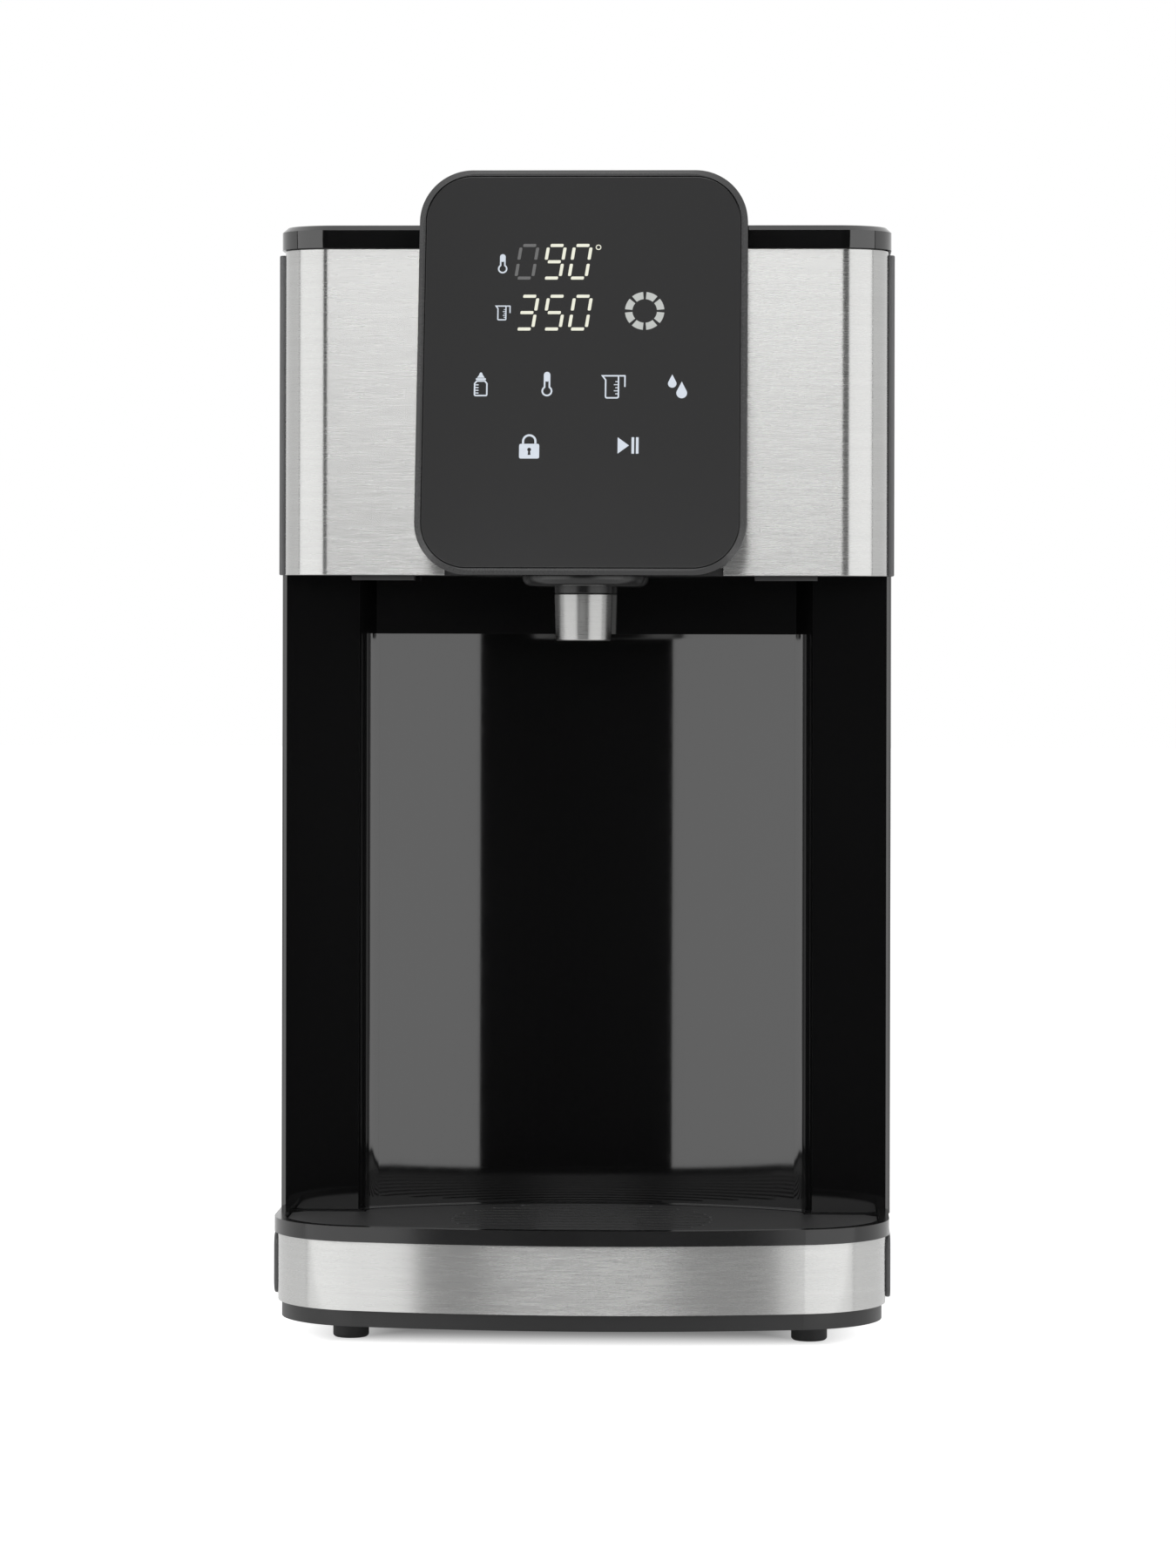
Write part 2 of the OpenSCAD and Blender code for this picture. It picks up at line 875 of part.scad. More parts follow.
// Underside of the head over the niche, with two shallow clip pads
module head_floor() {
    color("#101011") difference() {
        union() {
            slab(z_head, z_head + shell_t) {
                intersection() {
                    head_plan(wrap_t + fit_gap);
                    ahead_of(y_pillar + shell_t);
                }
                intersection() {
                    recess_plan(-shell_t);
                    behind(y_pillar);
                }
            }
            for (side = [-1, 1])
                block([side * clip_x - clip_w / 2, y_head + 3, z_head - 1.4],
                      [side * clip_x + clip_w / 2, y_head + 9, z_head]);
        }
        along_z(0, y_nozzle, z_head - 5, z_head + 5, collar_r + fit_gap);
    }
}

// Top cover: bevelled plate with a skirt, and a lip that drops into the head frame
module top_cover() {
    front = y_head - cover_lip;
    corner = head_corner_r + cover_lip;
    depth = y_wall - front;
    bevel_w = 1 - 2 * cover_bevel / (2 * cover_x);
    bevel_d = 1 - 2 * cover_bevel / depth;
    mid = (front + y_wall) / 2;
    color("#0c0c0d") difference() {
        union() {
            slab(z_cover, z_cover_top - cover_bevel)
                flat_front_plan(2 * cover_x, front, corner, y_wall);
            translate([0, mid, z_cover_top - cover_bevel])
                linear_extrude(cover_bevel, slices = 1, scale = [bevel_w, bevel_d])
                    translate([0, -mid]) flat_front_plan(2 * cover_x, front, corner, y_wall, $fn = 48);
            slab(z_cover - 4, z_cover) head_plan(wrap_t + frame_t + fit_gap, y_wall_in - fit_gap);
        }
        slab(z_cover - 5, z_cover_top - shell_t) head_plan(wrap_t + frame_t + 1.8, y_wall_in - 2);
        // room for the panel housing
        block([-panel_w / 2 - fit_gap, front - 5, z_cover - 5],
              [panel_w / 2 + fit_gap, y_head + fit_gap, z_cover_top + 1]);
    }
}

// Control panel

// The panel's front plane passes through this point and leans back from it
panel_foot = [0, y_head - panel_reach, z_head];
panel_h = z_panel_top - z_head;
y_panel_front = y_head - panel_reach - 28.5;

// Layer of the leaning panel between two distances behind its front plane
module panel_layer(from, to) {
    translate(panel_foot) rotate([-panel_lean, 0, 0])
        translate([-far / 2, from, -far / 2]) cube([far, to - from, far]);
}

// Outline of the panel seen from the front, drawn straight back
module panel_column(inset, y0, y1) {
    translate([0, y1, z_head + panel_h / 2]) rotate([90, 0, 0]) linear_extrude(y1 - y0)
        rounded_rect(panel_w - 2 * inset, panel_h - 2 * inset, panel_corner_r - inset);
}

// Bevelled front edge: a leaning prism that narrows towards the front
module panel_bevel() {
    slant_h = panel_h / cos(panel_lean);
    bevel = 1.2;
    wide = 1.45;
    depth = bevel + wide;
    translate(panel_foot) rotate([-panel_lean, 0, 0])
        translate([0, depth, slant_h / 2]) rotate([90, 0, 0])
            linear_extrude(depth, slices = 1, scale = [
                (panel_w - 2 * bevel) / (panel_w + 2 * wide),
                (slant_h - 2 * bevel) / (slant_h + 2 * wide)
            ])
                rounded_rect(panel_w + 2 * wide, slant_h + 2 * wide, panel_corner_r + wide, $fn = 48);
    panel_layer(depth, far / 2);
}

module panel_housing() {
    y0 = y_head - panel_reach - 1;
    free_z = z_cover_top + 0.3;
    color("#141415") difference() {
        intersection() {
            panel_column(0, y0, y_head + 20);
            panel_bevel();
        }
        // back of the housing: on the steel, and a thin free end above the cover
        block([-far / 2, y_head, z_head - 1], [far / 2, far / 2, free_z]);
        intersection() {
            panel_layer(panel_t, far / 2);
            block([-far / 2, y_head - 40, free_z - eps], [far / 2, far / 2, z_panel_top + 1]);
        }
        // pocket for the glass, window behind it, and the hollow inside
        intersection() {
            panel_column(glass_rim - fit_gap, y0 - 5, y_head + 20);
            panel_layer(-1, glass_t);
        }
        intersection() {
            panel_column(window_inset, y0 - 5, y_head + 20);
            panel_layer(0, glass_t + panel_shelf + 1);
        }
        intersection() {
            panel_column(panel_wall, y0, y_head + 20);
            panel_layer(glass_t + panel_shelf, panel_t - panel_wall);
        }
        intersection() {
            panel_column(panel_wall, y0, y_head + 20);
            panel_layer(glass_t + panel_shelf, far / 2);
            block([-far / 2, y0, z_head], [far / 2, y_head + 1, z_cover - 6]);
        }
        along_z(0, y_nozzle, z_head - 5, z_head + 5, collar_r + fit_gap);
    }
}

module panel_glass() {
    color("#1d1d1f") intersection() {
        panel_column(glass_rim, y_head - panel_reach - 5, y_head + 20);
        panel_layer(glass_sink, glass_t);
    }
}

// Light box behind the display: one well for each digit and a round one for the ring
module light_box() {
    wall = 4;
    first_x = -2.5 * digit_pitch;
    color("white") difference() {
        intersection() {
            block([-display_x, y_panel_front, display_top - display_h], [display_x, y_head, display_top]);
            panel_layer(glass_t, glass_t + light_depth);
        }
        for (row = [0, 1])
            for (i = [0 : 2])
                translate([first_x + digit_pitch * i, 0, display_top - wall - digit_h - digit_row * row])
                    block([0, y_panel_front, 0], [digit_w, y_head, digit_h]);
        along_y(ring_x, y_panel_front, y_head, display_top - 2 * wall - digit_row - 1, ring_r);
    }
}

// Six soft contacts between the touch board and the glass: four in a row over two
module touch_pads() {
    color("#3c3c3c") intersection() {
        union() {
            for (i = [-1.5 : 1.5])
                along_y(i * key_pitch, y_panel_front, y_head, key_row_z, key_r);
            for (i = [-0.5, 0.5])
                along_y(i * key_pitch_low + key_shift, y_panel_front, y_head, key_row_low_z, key_r);
        }
        panel_layer(glass_t, glass_t + light_depth);
    }
}

module display_board() {
    color("#1f5a34") intersection() {
        panel_column(panel_wall + 5.8, y_panel_front, y_head);
        panel_layer(glass_t + light_depth, glass_t + light_depth + board_t);
    }
}

// Outlet

// Black block under the head, behind the nozzle, open at its top
module outlet_block() {
    color("#0c0c0d") difference() {
        slab(z_head - block_h, z_head) block_plan(0);
        slab(z_head - block_h + 2, z_head + 1) block_plan(2);
    }
    module block_plan(inset) {
        intersection() {
            recess_plan(fit_gap + inset);
            translate([-block_w / 2 + inset, y_pillar + 2 + inset]) square([block_w - 2 * inset, recess_d]);
        }
    }
}

module nozzle_rosette() {
    color("#0c0c0d") translate([0, y_nozzle, 0]) rotate_extrude() polygon([
        [collar_r + fit_gap, z_head - rosette_h], [rosette_r - 2.2, z_head - rosette_h],
        [rosette_r - 0.9, z_head - rosette_h + 0.4], [rosette_r - 0.2, z_head - rosette_h + 1.3],
        [rosette_r, z_head - rosette_h + 2.2], [rosette_r, z_head], [collar_r + fit_gap, z_head]
    ]);
}

// Black collar with the pipe that carries the sleeve below and the hose above
module nozzle_collar() {
    pipe_r = sleeve_r - sleeve_t;
    color("#111112") translate([0, y_nozzle, 0]) rotate_extrude() polygon([
        [insert_r, z_sleeve + 2], [pipe_r, z_sleeve + 2], [pipe_r, z_collar], [collar_r, z_collar],
        [collar_r, z_head + shell_t], [collar_r + 2, z_head + shell_t],
        [collar_r + 2, z_hose_end], [barb_r, z_hose_end], [barb_r, barb_top], [barb_bore_r, barb_top],
        [barb_bore_r, z_sleeve + 10], [insert_r, z_sleeve + 10]
    ]);
}

// Tapered steel sleeve with a rounded lower lip
module nozzle_sleeve() {
    low_r = sleeve_r - 0.35;
    color("silver") translate([0, y_nozzle, 0]) rotate_extrude() polygon([
        [sleeve_r - sleeve_t, z_sleeve], [low_r - 0.5, z_sleeve], [low_r - 0.15, z_sleeve + 0.15],
        [low_r, z_sleeve + 0.5], [sleeve_r, z_collar - 0.3], [sleeve_r - 0.3, z_collar],
        [sleeve_r - sleeve_t, z_collar]
    ]);
}

module nozzle_insert() {
    color("whitesmoke") translate([0, y_nozzle, 0]) rotate_extrude() polygon([
        [drip_hole_r, z_sleeve + 1.2], [insert_r - 0.8, z_sleeve + 1.2], [insert_r, z_sleeve + 2],
        [insert_r, z_sleeve + 10], [drip_hole_r, z_sleeve + 10]
    ]);
}

// Heater

module heater_tube() {
    color("silver") difference() {
        along_x(-heater_len / 2, heater_len / 2, heater_y, heater_z, heater_r);
        along_x(-heater_len / 2 - 1, heater_len / 2 + 1, heater_y, heater_z, heater_r - heater_wall);
    }
}

// Two end caps: the right one takes the water in from below, the left one lets it out in front
module heater_caps() {
    color("whitesmoke") {
        difference() {
            union() {
                along_x(heater_len / 2, heater_len / 2 + cap_len, heater_y, heater_z, heater_r + 1.5);
                along_z(cap_x, heater_y, heater_z - heater_r - barb_len, heater_z - heater_r + 2, barb_r);
            }
            along_x(heater_len / 2 - 1, heater_len / 2 + cap_len - 2, heater_y, heater_z, heater_r - heater_wall);
            along_z(cap_x, heater_y, heater_z - heater_r - barb_len - 1, heater_z, barb_bore_r);
        }
        difference() {
            union() {
                along_x(-heater_len / 2 - cap_len, -heater_len / 2, heater_y, heater_z, heater_r + 1.5);
                along_y(-cap_x, heater_y - heater_r - barb_len, heater_y - heater_r + 2, heater_z, barb_r);
            }
            along_x(-heater_len / 2 - cap_len + 2, -heater_len / 2 + 1, heater_y, heater_z, heater_r - heater_wall);
            along_y(-cap_x, heater_y - heater_r - barb_len - 1, heater_y, heater_z, barb_bore_r);
            along_z(-cap_x, heater_y, heater_z, heater_z + heater_r + 3, 2);
        }
    }
}

module heater_straps() {
    strap_t = 1.6;
    foot_t = 6;
    color("#8a8d90") for (side = [-1, 1])
        translate([side * strap_x, 0, 0]) difference() {
            union() {
                along_x(-strap_w / 2, strap_w / 2, heater_y, heater_z, heater_r + strap_t);
                block([-strap_w / 2, heater_y + heater_r - 2, heater_z - foot_t / 2],
                      [strap_w / 2, y_wall_in, heater_z + foot_t / 2]);
            }
            along_x(-strap_w / 2 - 1, strap_w / 2 + 1, heater_y, heater_z, heater_r);
        }
}

// Two round switches that seat on top of the tube
module thermal_cutouts() {
    top = heater_z + heater_r + 6;
    tab = [0.8, 4, 6];
    color("#d8c9a0") difference() {
        for (side = [-1, 1]) {
            along_z(side * cutout_x, heater_y, heater_z + heater_r - 3, top, 8);
            for (end = [-1, 1])
                translate([side * cutout_x - tab[0] / 2, heater_y + end * tab[1] - tab[1] / 2, top])
                    cube(tab);
        }
        along_x(-heater_len / 2, heater_len / 2, heater_y, heater_z, heater_r);
    }
}

module temperature_sensor() {
    color("#b08d57") {
        along_z(-cap_x, heater_y, heater_z + 4, heater_z + heater_r + 3, 2);
        along_z(-cap_x, heater_y, heater_z + heater_r + 1.5, heater_z + heater_r + 9, 3.5);
    }
}

// Pump

z_chamber = z_pump + pump_base_t;
z_chamber_top = z_chamber + chamber_h;
z_motor = z_chamber_top + 3;

module pump_cover() {
    color("#3a3a3a") difference() {
        union() {
            along_z(pump_x, pump_y, z_pump, z_chamber, pump_r);
            along_z(pump_x, pump_y, z_pump - barb_len, z_pump, barb_r);
        }
        along_z(pump_x, pump_y, z_pump - barb_len - 1, z_chamber + 1, barb_bore_r);
    }
}

module pump_housing() {
    wall = 3;
    color("#3a3a3a") difference() {
        union() {
            along_z(pump_x, pump_y, z_chamber, z_motor, pump_r);
            along_x(pump_x, pump_x + pump_r + barb_len, pump_y, z_chamber + chamber_h / 2, barb_r);
        }
        along_z(pump_x, pump_y, z_chamber - 1, z_chamber_top, pump_r - wall);
        along_z(pump_x, pump_y, z_chamber, z_motor + 1, shaft_r + run_gap);
        along_x(pump_x, pump_x + pump_r + barb_len + 1, pump_y, z_chamber + chamber_h / 2, barb_bore_r);
    }
}

// Back plate with six curved blades, on one shaft with the motor
module pump_impeller() {
    plate_r = pump_r - 5;
    blade_r = plate_r - 0.6;
    blade_h = chamber_h - 2.5;
    curve_r = 9.4;
    color("ivory") translate([pump_x, pump_y, z_chamber + 1]) {
        cylinder(r = plate_r, h = 1.6);
        cylinder(r = 3.2, h = chamber_h - 2);
        cylinder(r = shaft_r, h = chamber_h + 12);
        for (i = [0 : 5])
            rotate(i * 60) intersection() {
                translate([0, -curve_r, 0]) difference() {
                    cylinder(r = curve_r + 0.6, h = blade_h);
                    translate([0, 0, -1]) cylinder(r = curve_r - 0.6, h = blade_h + 2);
                }
                translate([1.6, -blade_r, 0]) cube([blade_r, blade_r, blade_h]);
                cylinder(r = blade_r, h = blade_h);
            }
    }
}

module pump_motor() {
    color("#9a9c9e") difference() {
        union() {
            along_z(pump_x, pump_y, z_motor, z_motor + motor_h, motor_r);
            along_z(pump_x, pump_y, z_motor + motor_h, z_motor + motor_h + 2.5, 5);
            for (side = [-1, 1])
                block([pump_x + side * 8 - 1.5, pump_y - 0.4, z_motor + motor_h],
                      [pump_x + side * 8 + 1.5, pump_y + 0.4, z_motor + motor_h + 7]);
        }
        along_z(pump_x, pump_y, z_motor - 1, z_motor + 12, shaft_r + run_gap);
    }
}

module pump_bracket() {
    z0 = z_motor + 12;
    color("#2c2c2c") difference() {
        union() {
            along_z(pump_x, pump_y, z0, z0 + 10, motor_r + 2.5);
            block([pump_x - 6, pump_y + motor_r, z0], [pump_x + 6, y_wall_in, z0 + 10]);
        }
        along_z(pump_x, pump_y, z0 - 1, z0 + 11, motor_r);
    }
}

// Flow meter

meter_y0 = meter_y - meter_len / 2;
meter_y1 = meter_y + meter_len / 2;

// Cup with its mouth to the front, an inlet below, an outlet above and a foot on the rear wall
module meter_body() {
    color("gainsboro") difference() {
        union() {
            along_y(meter_x, meter_y0 + meter_wall, meter_y1, meter_z, meter_r);
            along_z(meter_x, meter_y, meter_z - meter_r - barb_len, meter_z + meter_r + barb_len, barb_r);
            block([meter_x - 6, meter_y1 - 1, meter_z - 4], [meter_x + 6, y_wall_in, meter_z + 4]);
        }
        along_y(meter_x, meter_y0 + meter_wall - 1, meter_y1 - meter_wall, meter_z, meter_r - 2);
        along_y(meter_x, meter_y1 - meter_wall - 1, meter_y1 + 2, meter_z, shaft_r + run_gap);
        along_z(meter_x, meter_y, meter_z - meter_r - barb_len - 1, meter_z + meter_r + barb_len + 1, barb_bore_r);
    }
}

module meter_cap() {
    color("gainsboro") difference() {
        along_y(meter_x, meter_y0, meter_y0 + meter_wall, meter_z, meter_r);
        along_y(meter_x, meter_y0 + 0.8, meter_y0 + meter_wall + 1, meter_z, shaft_r + run_gap);
    }
}

module meter_turbine() {
    reach = meter_r - 3.2;
    y0 = meter_y0 + meter_wall + 1;
    y1 = meter_y1 - meter_wall - 1;
    color("ivory") {
        along_y(meter_x, meter_y0 + 0.9, meter_y1 - 0.3, meter_z, shaft_r);
        along_y(meter_x, y0, y1, meter_z, 4);
        for (i = [0 : 5])
            translate([meter_x, 0, meter_z]) rotate([0, i * 60, 0])
                block([3, y0 + 0.5, -0.6], [reach, y1 - 0.5, 0.6]);
    }
}

// Hoses, each along its own route of straight runs

module inlet_hose() {
    hose([
        [-socket_r, valve_y, hose_z], [pump_x, valve_y, hose_z],
        [pump_x, pump_y, hose_z], [pump_x, pump_y, z_pump]
    ]);
}

module pump_hose() {
    z = z_chamber + chamber_h / 2;
    hose([
        [pump_x + pump_r, pump_y, z], [meter_x, pump_y, z], [meter_x, pump_y, meter_z - meter_r]
    ]);
}

module heater_hose() {
    z = meter_z + meter_r + hose_rise;
    hose([
        [meter_x, meter_y, meter_z + meter_r], [meter_x, meter_y, z],
        [cap_x, meter_y, z], [cap_x, meter_y, heater_z - heater_r - 1.5]
    ]);
}

module outlet_hose() {
    y = y_pillar + 16;
    hose([
        [-cap_x, heater_y - heater_r - 1.5, heater_z], [-cap_x, y, heater_z], [0, y, heater_z],
        [0, y_nozzle, heater_z], [0, y_nozzle, z_hose_end]
    ]);
}

// Electric parts

// Board with a relay, two capacitors and a row of terminals
module power_board() {
    edge = 6;
    relay = [19, 15, 16];
    capacitor_r = 6;
    capacitor_len = 14;
    capacitor_x = edge + relay[0] + 13;
    terminal = [6, 9, 8];
    color("#1f5a34") translate([board_x0, power_board_y, board_z0]) cube([board_w, board_t, board_h]);
    color("#2c2c2c") translate([board_x0, power_board_y, board_z0]) {
        translate([edge, -relay[1], board_h - 8 - relay[2]]) cube(relay);
        for (z = [board_h - 14, board_h - 30])
            along_y(capacitor_x, -capacitor_len, 0, z, capacitor_r);
        for (i = [0 : 3])
            translate([edge + 8 * i, -terminal[1], 4]) cube(terminal);
    }
}

// Finned aluminium block that cools the heater's switch
module heat_sink() {
    base = [20, 3, board_h - 16];
    fin = [1.6, 9, base[2]];
    fins = 5;
    pitch = (base[0] - fin[0]) / (fins - 1);
    color("#b8babd") translate([board_x1 - base[0] - 4, power_board_y - base[1], board_z0 + 8]) {
        cube(base);
        for (i = [0 : fins - 1])
            translate([i * pitch, -fin[1], 0]) cube(fin);
    }
}

// Switch on the rear wall that answers to the magnet in the float
module level_sensor() {
    size = [16, 5, 16];
    z0 = z_tank_in + 2;
    color("#2c2c2c") difference() {
        translate([float_x - size[0] / 2, y_wall_in - size[1], z0]) cube(size);
        along_y(float_x, y_wall_in - size[1] - 1, y_wall_in - 2, z0 + size[2] / 2, 2);
    }
}

// Tank socket in the deck

module tank_socket() {
    color("#2a2a2b") difference() {
        union() {
            along_z(0, valve_y, z_deck, z_deck + socket_flange_t, socket_r + 3);
            along_z(0, valve_y, socket_floor_z - 2, z_deck, socket_r);
            translate([-socket_r - barb_len, valve_y, hose_z]) rotate([0, 90, 0])
                cylinder(r = barb_r, h = barb_len + 2);
        }
        along_z(0, valve_y, neck_bottom - 1, z_deck + socket_flange_t + 1, socket_well_r);
        along_z(0, valve_y, socket_floor_z, neck_bottom, socket_well_r - 2);
        translate([-socket_r - barb_len - 1, valve_y, hose_z]) rotate([0, 90, 0])
            cylinder(r = barb_bore_r, h = socket_r + barb_len);
    }
    // three arms carry the pin that opens the valve
    color("#2a2a2b") {
        along_z(0, valve_y, neck_bottom - 4, pin_top, 1.4);
        for (i = [0 : 2])
            translate([0, valve_y, 0]) rotate(90 + i * 120)
                block([0, -0.8, neck_bottom - 4], [socket_well_r - 1, 0.8, neck_bottom - 2]);
    }
}

module socket_seal() {
    z0 = neck_bottom + 1;
    color("#b5482e") translate([0, valve_y, z0]) rotate_extrude() polygon([
        [valve_r + 0.15, 1], [valve_r + 0.4, 0], [socket_well_r, 0], [socket_well_r, 2], [valve_r + 0.4, 2]
    ]);
}

// Perforated disc on the ledge of the socket
module inlet_sieve() {
    z0 = socket_floor_z + 6;
    hole_r = 0.9;
    color("silver") difference() {
        along_z(0, valve_y, z0, z0 + 0.6, socket_well_r - 2);
        for (ring = [1 : 3])
            for (i = [0 : 6 * ring - 1])
                translate([0, valve_y, z0 - 1]) rotate(i * 60 / ring)
                    translate([ring * 2.9, 0, 0]) cylinder(r = hole_r, h = 3, $fn = 6);
    }
}

// Tank

module water_tank() {
    color("#5a6066", 0.5) {
        difference() {
            slab(z_deck, z_tank_rim) tank_plan();
            slab(z_tank_in, z_cover_top) tank_plan(tank_t);
            slab(z_deck - 1, z_tank_floor) tank_plan(tank_t);
            along_z(0, valve_y, z_tank_floor - 1, z_tank_in + 1, valve_r);
            // room for the lid's hinge at the front
            block([-side_x, y_tank - 1, hinge_z - barrel_r - 1], [side_x, lid_side_y, z_cover_top]);
        }
        tank_ears();
        tank_ribs();
    }
}

// Two ears that carry the hinge pins
module tank_ears() {
    for (side = [-1, 1])
        difference() {
            union() {
                along_x(side > 0 ? ear_x : -tank_x, side > 0 ? tank_x : -ear_x, hinge_y, hinge_z, barrel_r);
                block([side > 0 ? ear_x : -tank_x + 0.6, hinge_y - barrel_r, hinge_z - barrel_r - 8],
                      [side > 0 ? tank_x - 0.6 : -ear_x, hinge_y + barrel_r, hinge_z]);
            }
            along_x(side > 0 ? ear_x - 1 : -ear_x - ear_w + 0.7, side > 0 ? ear_x + ear_w - 0.7 : -ear_x + 1,
                    hinge_y, hinge_z, hinge_pin_r);
        }
}

// Post for the float, with a stop at its top
module tank_ribs() {
    post_top = z_tank_in + 1 + float_h + float_travel + 1;
    along_z(float_x, float_y, z_tank_in - eps, post_top + 3, post_r);
    along_z(float_x, float_y, post_top, post_top + 2, post_r + 2.5);
}

// Neck, flange, guide for the stem and a cage that holds the spring
module valve_body() {
    guide_z = neck_bottom + 4;
    color("#d8d8d4") {
        translate([0, valve_y, 0]) rotate_extrude() polygon([
            [valve_bore_r, neck_bottom], [valve_r - 0.6, neck_bottom], [valve_r, neck_bottom + 0.6],
            [valve_r, z_tank_in], [valve_flange_r, z_tank_in], [valve_flange_r, z_seat], [valve_bore_r, z_seat]
        ]);
        for (i = [0 : 2])
            translate([0, valve_y, 0]) rotate(30 + i * 120) {
                block([stem_r + 1, -0.8, guide_z], [valve_bore_r + 1, 0.8, guide_z + 2]);
                along_z(valve_flange_r - 1.8, 0, z_seat - eps, cage_top_z, 1.5);
            }
        difference() {
            union() {
                along_z(0, valve_y, guide_z, guide_z + 2, stem_r + 2);
                along_z(0, valve_y, cage_top_z, cage_top_z + cage_t, valve_flange_r);
            }
            along_z(0, valve_y, guide_z - 1, cage_top_z + cage_t + 1, stem_r + run_gap);
        }
    }
}

// Stem with the disc that closes the seat, and its soft sealing ring
module valve_plunger() {
    disc_r = valve_flange_r - 4;
    color("#b5482e") translate([0, valve_y, 0]) rotate_extrude() polygon([
        [0, stem_bottom], [stem_r - 0.4, stem_bottom], [stem_r, stem_bottom + 0.4], [stem_r, z_disc - seal_t],
        [disc_r - 0.6, z_disc - seal_t], [disc_r, z_disc], [disc_r, z_disc + disc_t],
        [stem_r, z_disc + disc_t], [stem_r, stem_top], [0, stem_top]
    ]);
}

// Compression spring between the disc and the cage, as one wound wire
module valve_spring() {
    z0 = z_disc + disc_t + wire_r + 0.05;
    z1 = cage_top_z - wire_r - 0.05;
    steps = 10;
    sides = 6;
    count = spring_turns * steps;
    function ring(i) = let (a = i * 360 / steps, z = z0 + (z1 - z0) * i / count)
        [for (k = [0 : sides - 1]) let (b = k * 360 / sides, r = spring_r + wire_r * cos(b))
            [r * cos(a), r * sin(a), z + wire_r * sin(b)]];
    points = [for (i = [0 : count]) each ring(i)];
    skin = [for (i = [0 : count - 1]) for (k = [0 : sides - 1]) let (n = (k + 1) % sides)
        each [
            [i * sides + k, (i + 1) * sides + k, (i + 1) * sides + n],
            [i * sides + k, (i + 1) * sides + n, i * sides + n]
        ]];
    first = [for (k = [1 : sides - 2]) [0, k, k + 1]];
    last = [for (k = [1 : sides - 2]) [count * sides, count * sides + k + 1, count * sides + k]];
    color("silver") translate([0, valve_y, 0]) polyhedron(points, concat(skin, first, last));
}

module level_float() {
    color("#e8e6df") difference() {
        along_z(float_x, float_y, z_tank_in + 1, z_tank_in + 1 + float_h, float_r);
        along_z(float_x, float_y, z_tank_in, z_tank_in + 2 + float_h, post_r + run_gap);
    }
}

// Lid

module lid_plan(inset = 0) {
    intersection() {
        tank_plan(inset - lid_skirt_t - lift_gap);
        behind(lid_side_y);
    }
}

module tank_lid() {
    slab_z = z_cover_top - lid_t;
    barrel_x = ear_x - 0.4;
    color("#0c0c0d") difference() {
        union() {
            slab(slab_z, z_cover_top) {
                lid_plan();
                translate([-barrel_x, hinge_y]) square([2 * barrel_x, lid_side_y - hinge_y + 1]);
            }
            slab(z_cover, slab_z) difference() {
                lid_plan();
                tank_plan(-lift_gap);
            }
            along_x(-barrel_x, barrel_x, hinge_y, hinge_z, barrel_r);
        }
        for (side = [-1, 1])
            along_x(side > 0 ? barrel_x - 9 : -barrel_x - 1, side > 0 ? barrel_x + 1 : -barrel_x + 9,
                    hinge_y, hinge_z, hinge_pin_r + run_gap);
        // room for a finger under the rear edge
        block([-18, y_back - 5, z_cover - 1], [18, y_back + 1, z_cover + 2.6]);
    }
}

module lid_hinge_pins() {
    color("silver") for (side = [-1, 1])
        along_x(side > 0 ? ear_x + ear_w - 0.7 - pin_len : -ear_x - ear_w + 0.7,
                side > 0 ? ear_x + ear_w - 0.7 : -ear_x - ear_w + 0.7 + pin_len,
                hinge_y, hinge_z, hinge_pin_r);
}

base_housing();
base_plate();
base_band();
base_trim_left();
base_trim_right();
rubber_feet();
base_screws();
cord_gland();
drip_tray();
drip_grille();
niche_wall();
side_panel_left();
side_panel_right();
rear_wall();
head_frame();
steel_wrap();
head_side_left();
head_side_right();
head_floor();
top_cover();
panel_housing();
panel_glass();
light_box();
touch_pads();
display_board();
outlet_block();
nozzle_rosette();
nozzle_collar();
nozzle_sleeve();
nozzle_insert();
heater_tube();
heater_caps();
heater_straps();
thermal_cutouts();
temperature_sensor();
pump_motor();
pump_housing();
pump_cover();
pump_impeller();
pump_bracket();
meter_body();
meter_cap();
meter_turbine();
inlet_hose();
pump_hose();
heater_hose();
outlet_hose();
power_board();
heat_sink();
level_sensor();
tank_socket();
socket_seal();
inlet_sieve();
water_tank();
valve_body();
valve_plunger();
valve_spring();
level_float();
tank_lid();
lid_hinge_pins();
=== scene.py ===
import json
import math

import bmesh
import bpy
from mathutils import Matrix, Vector


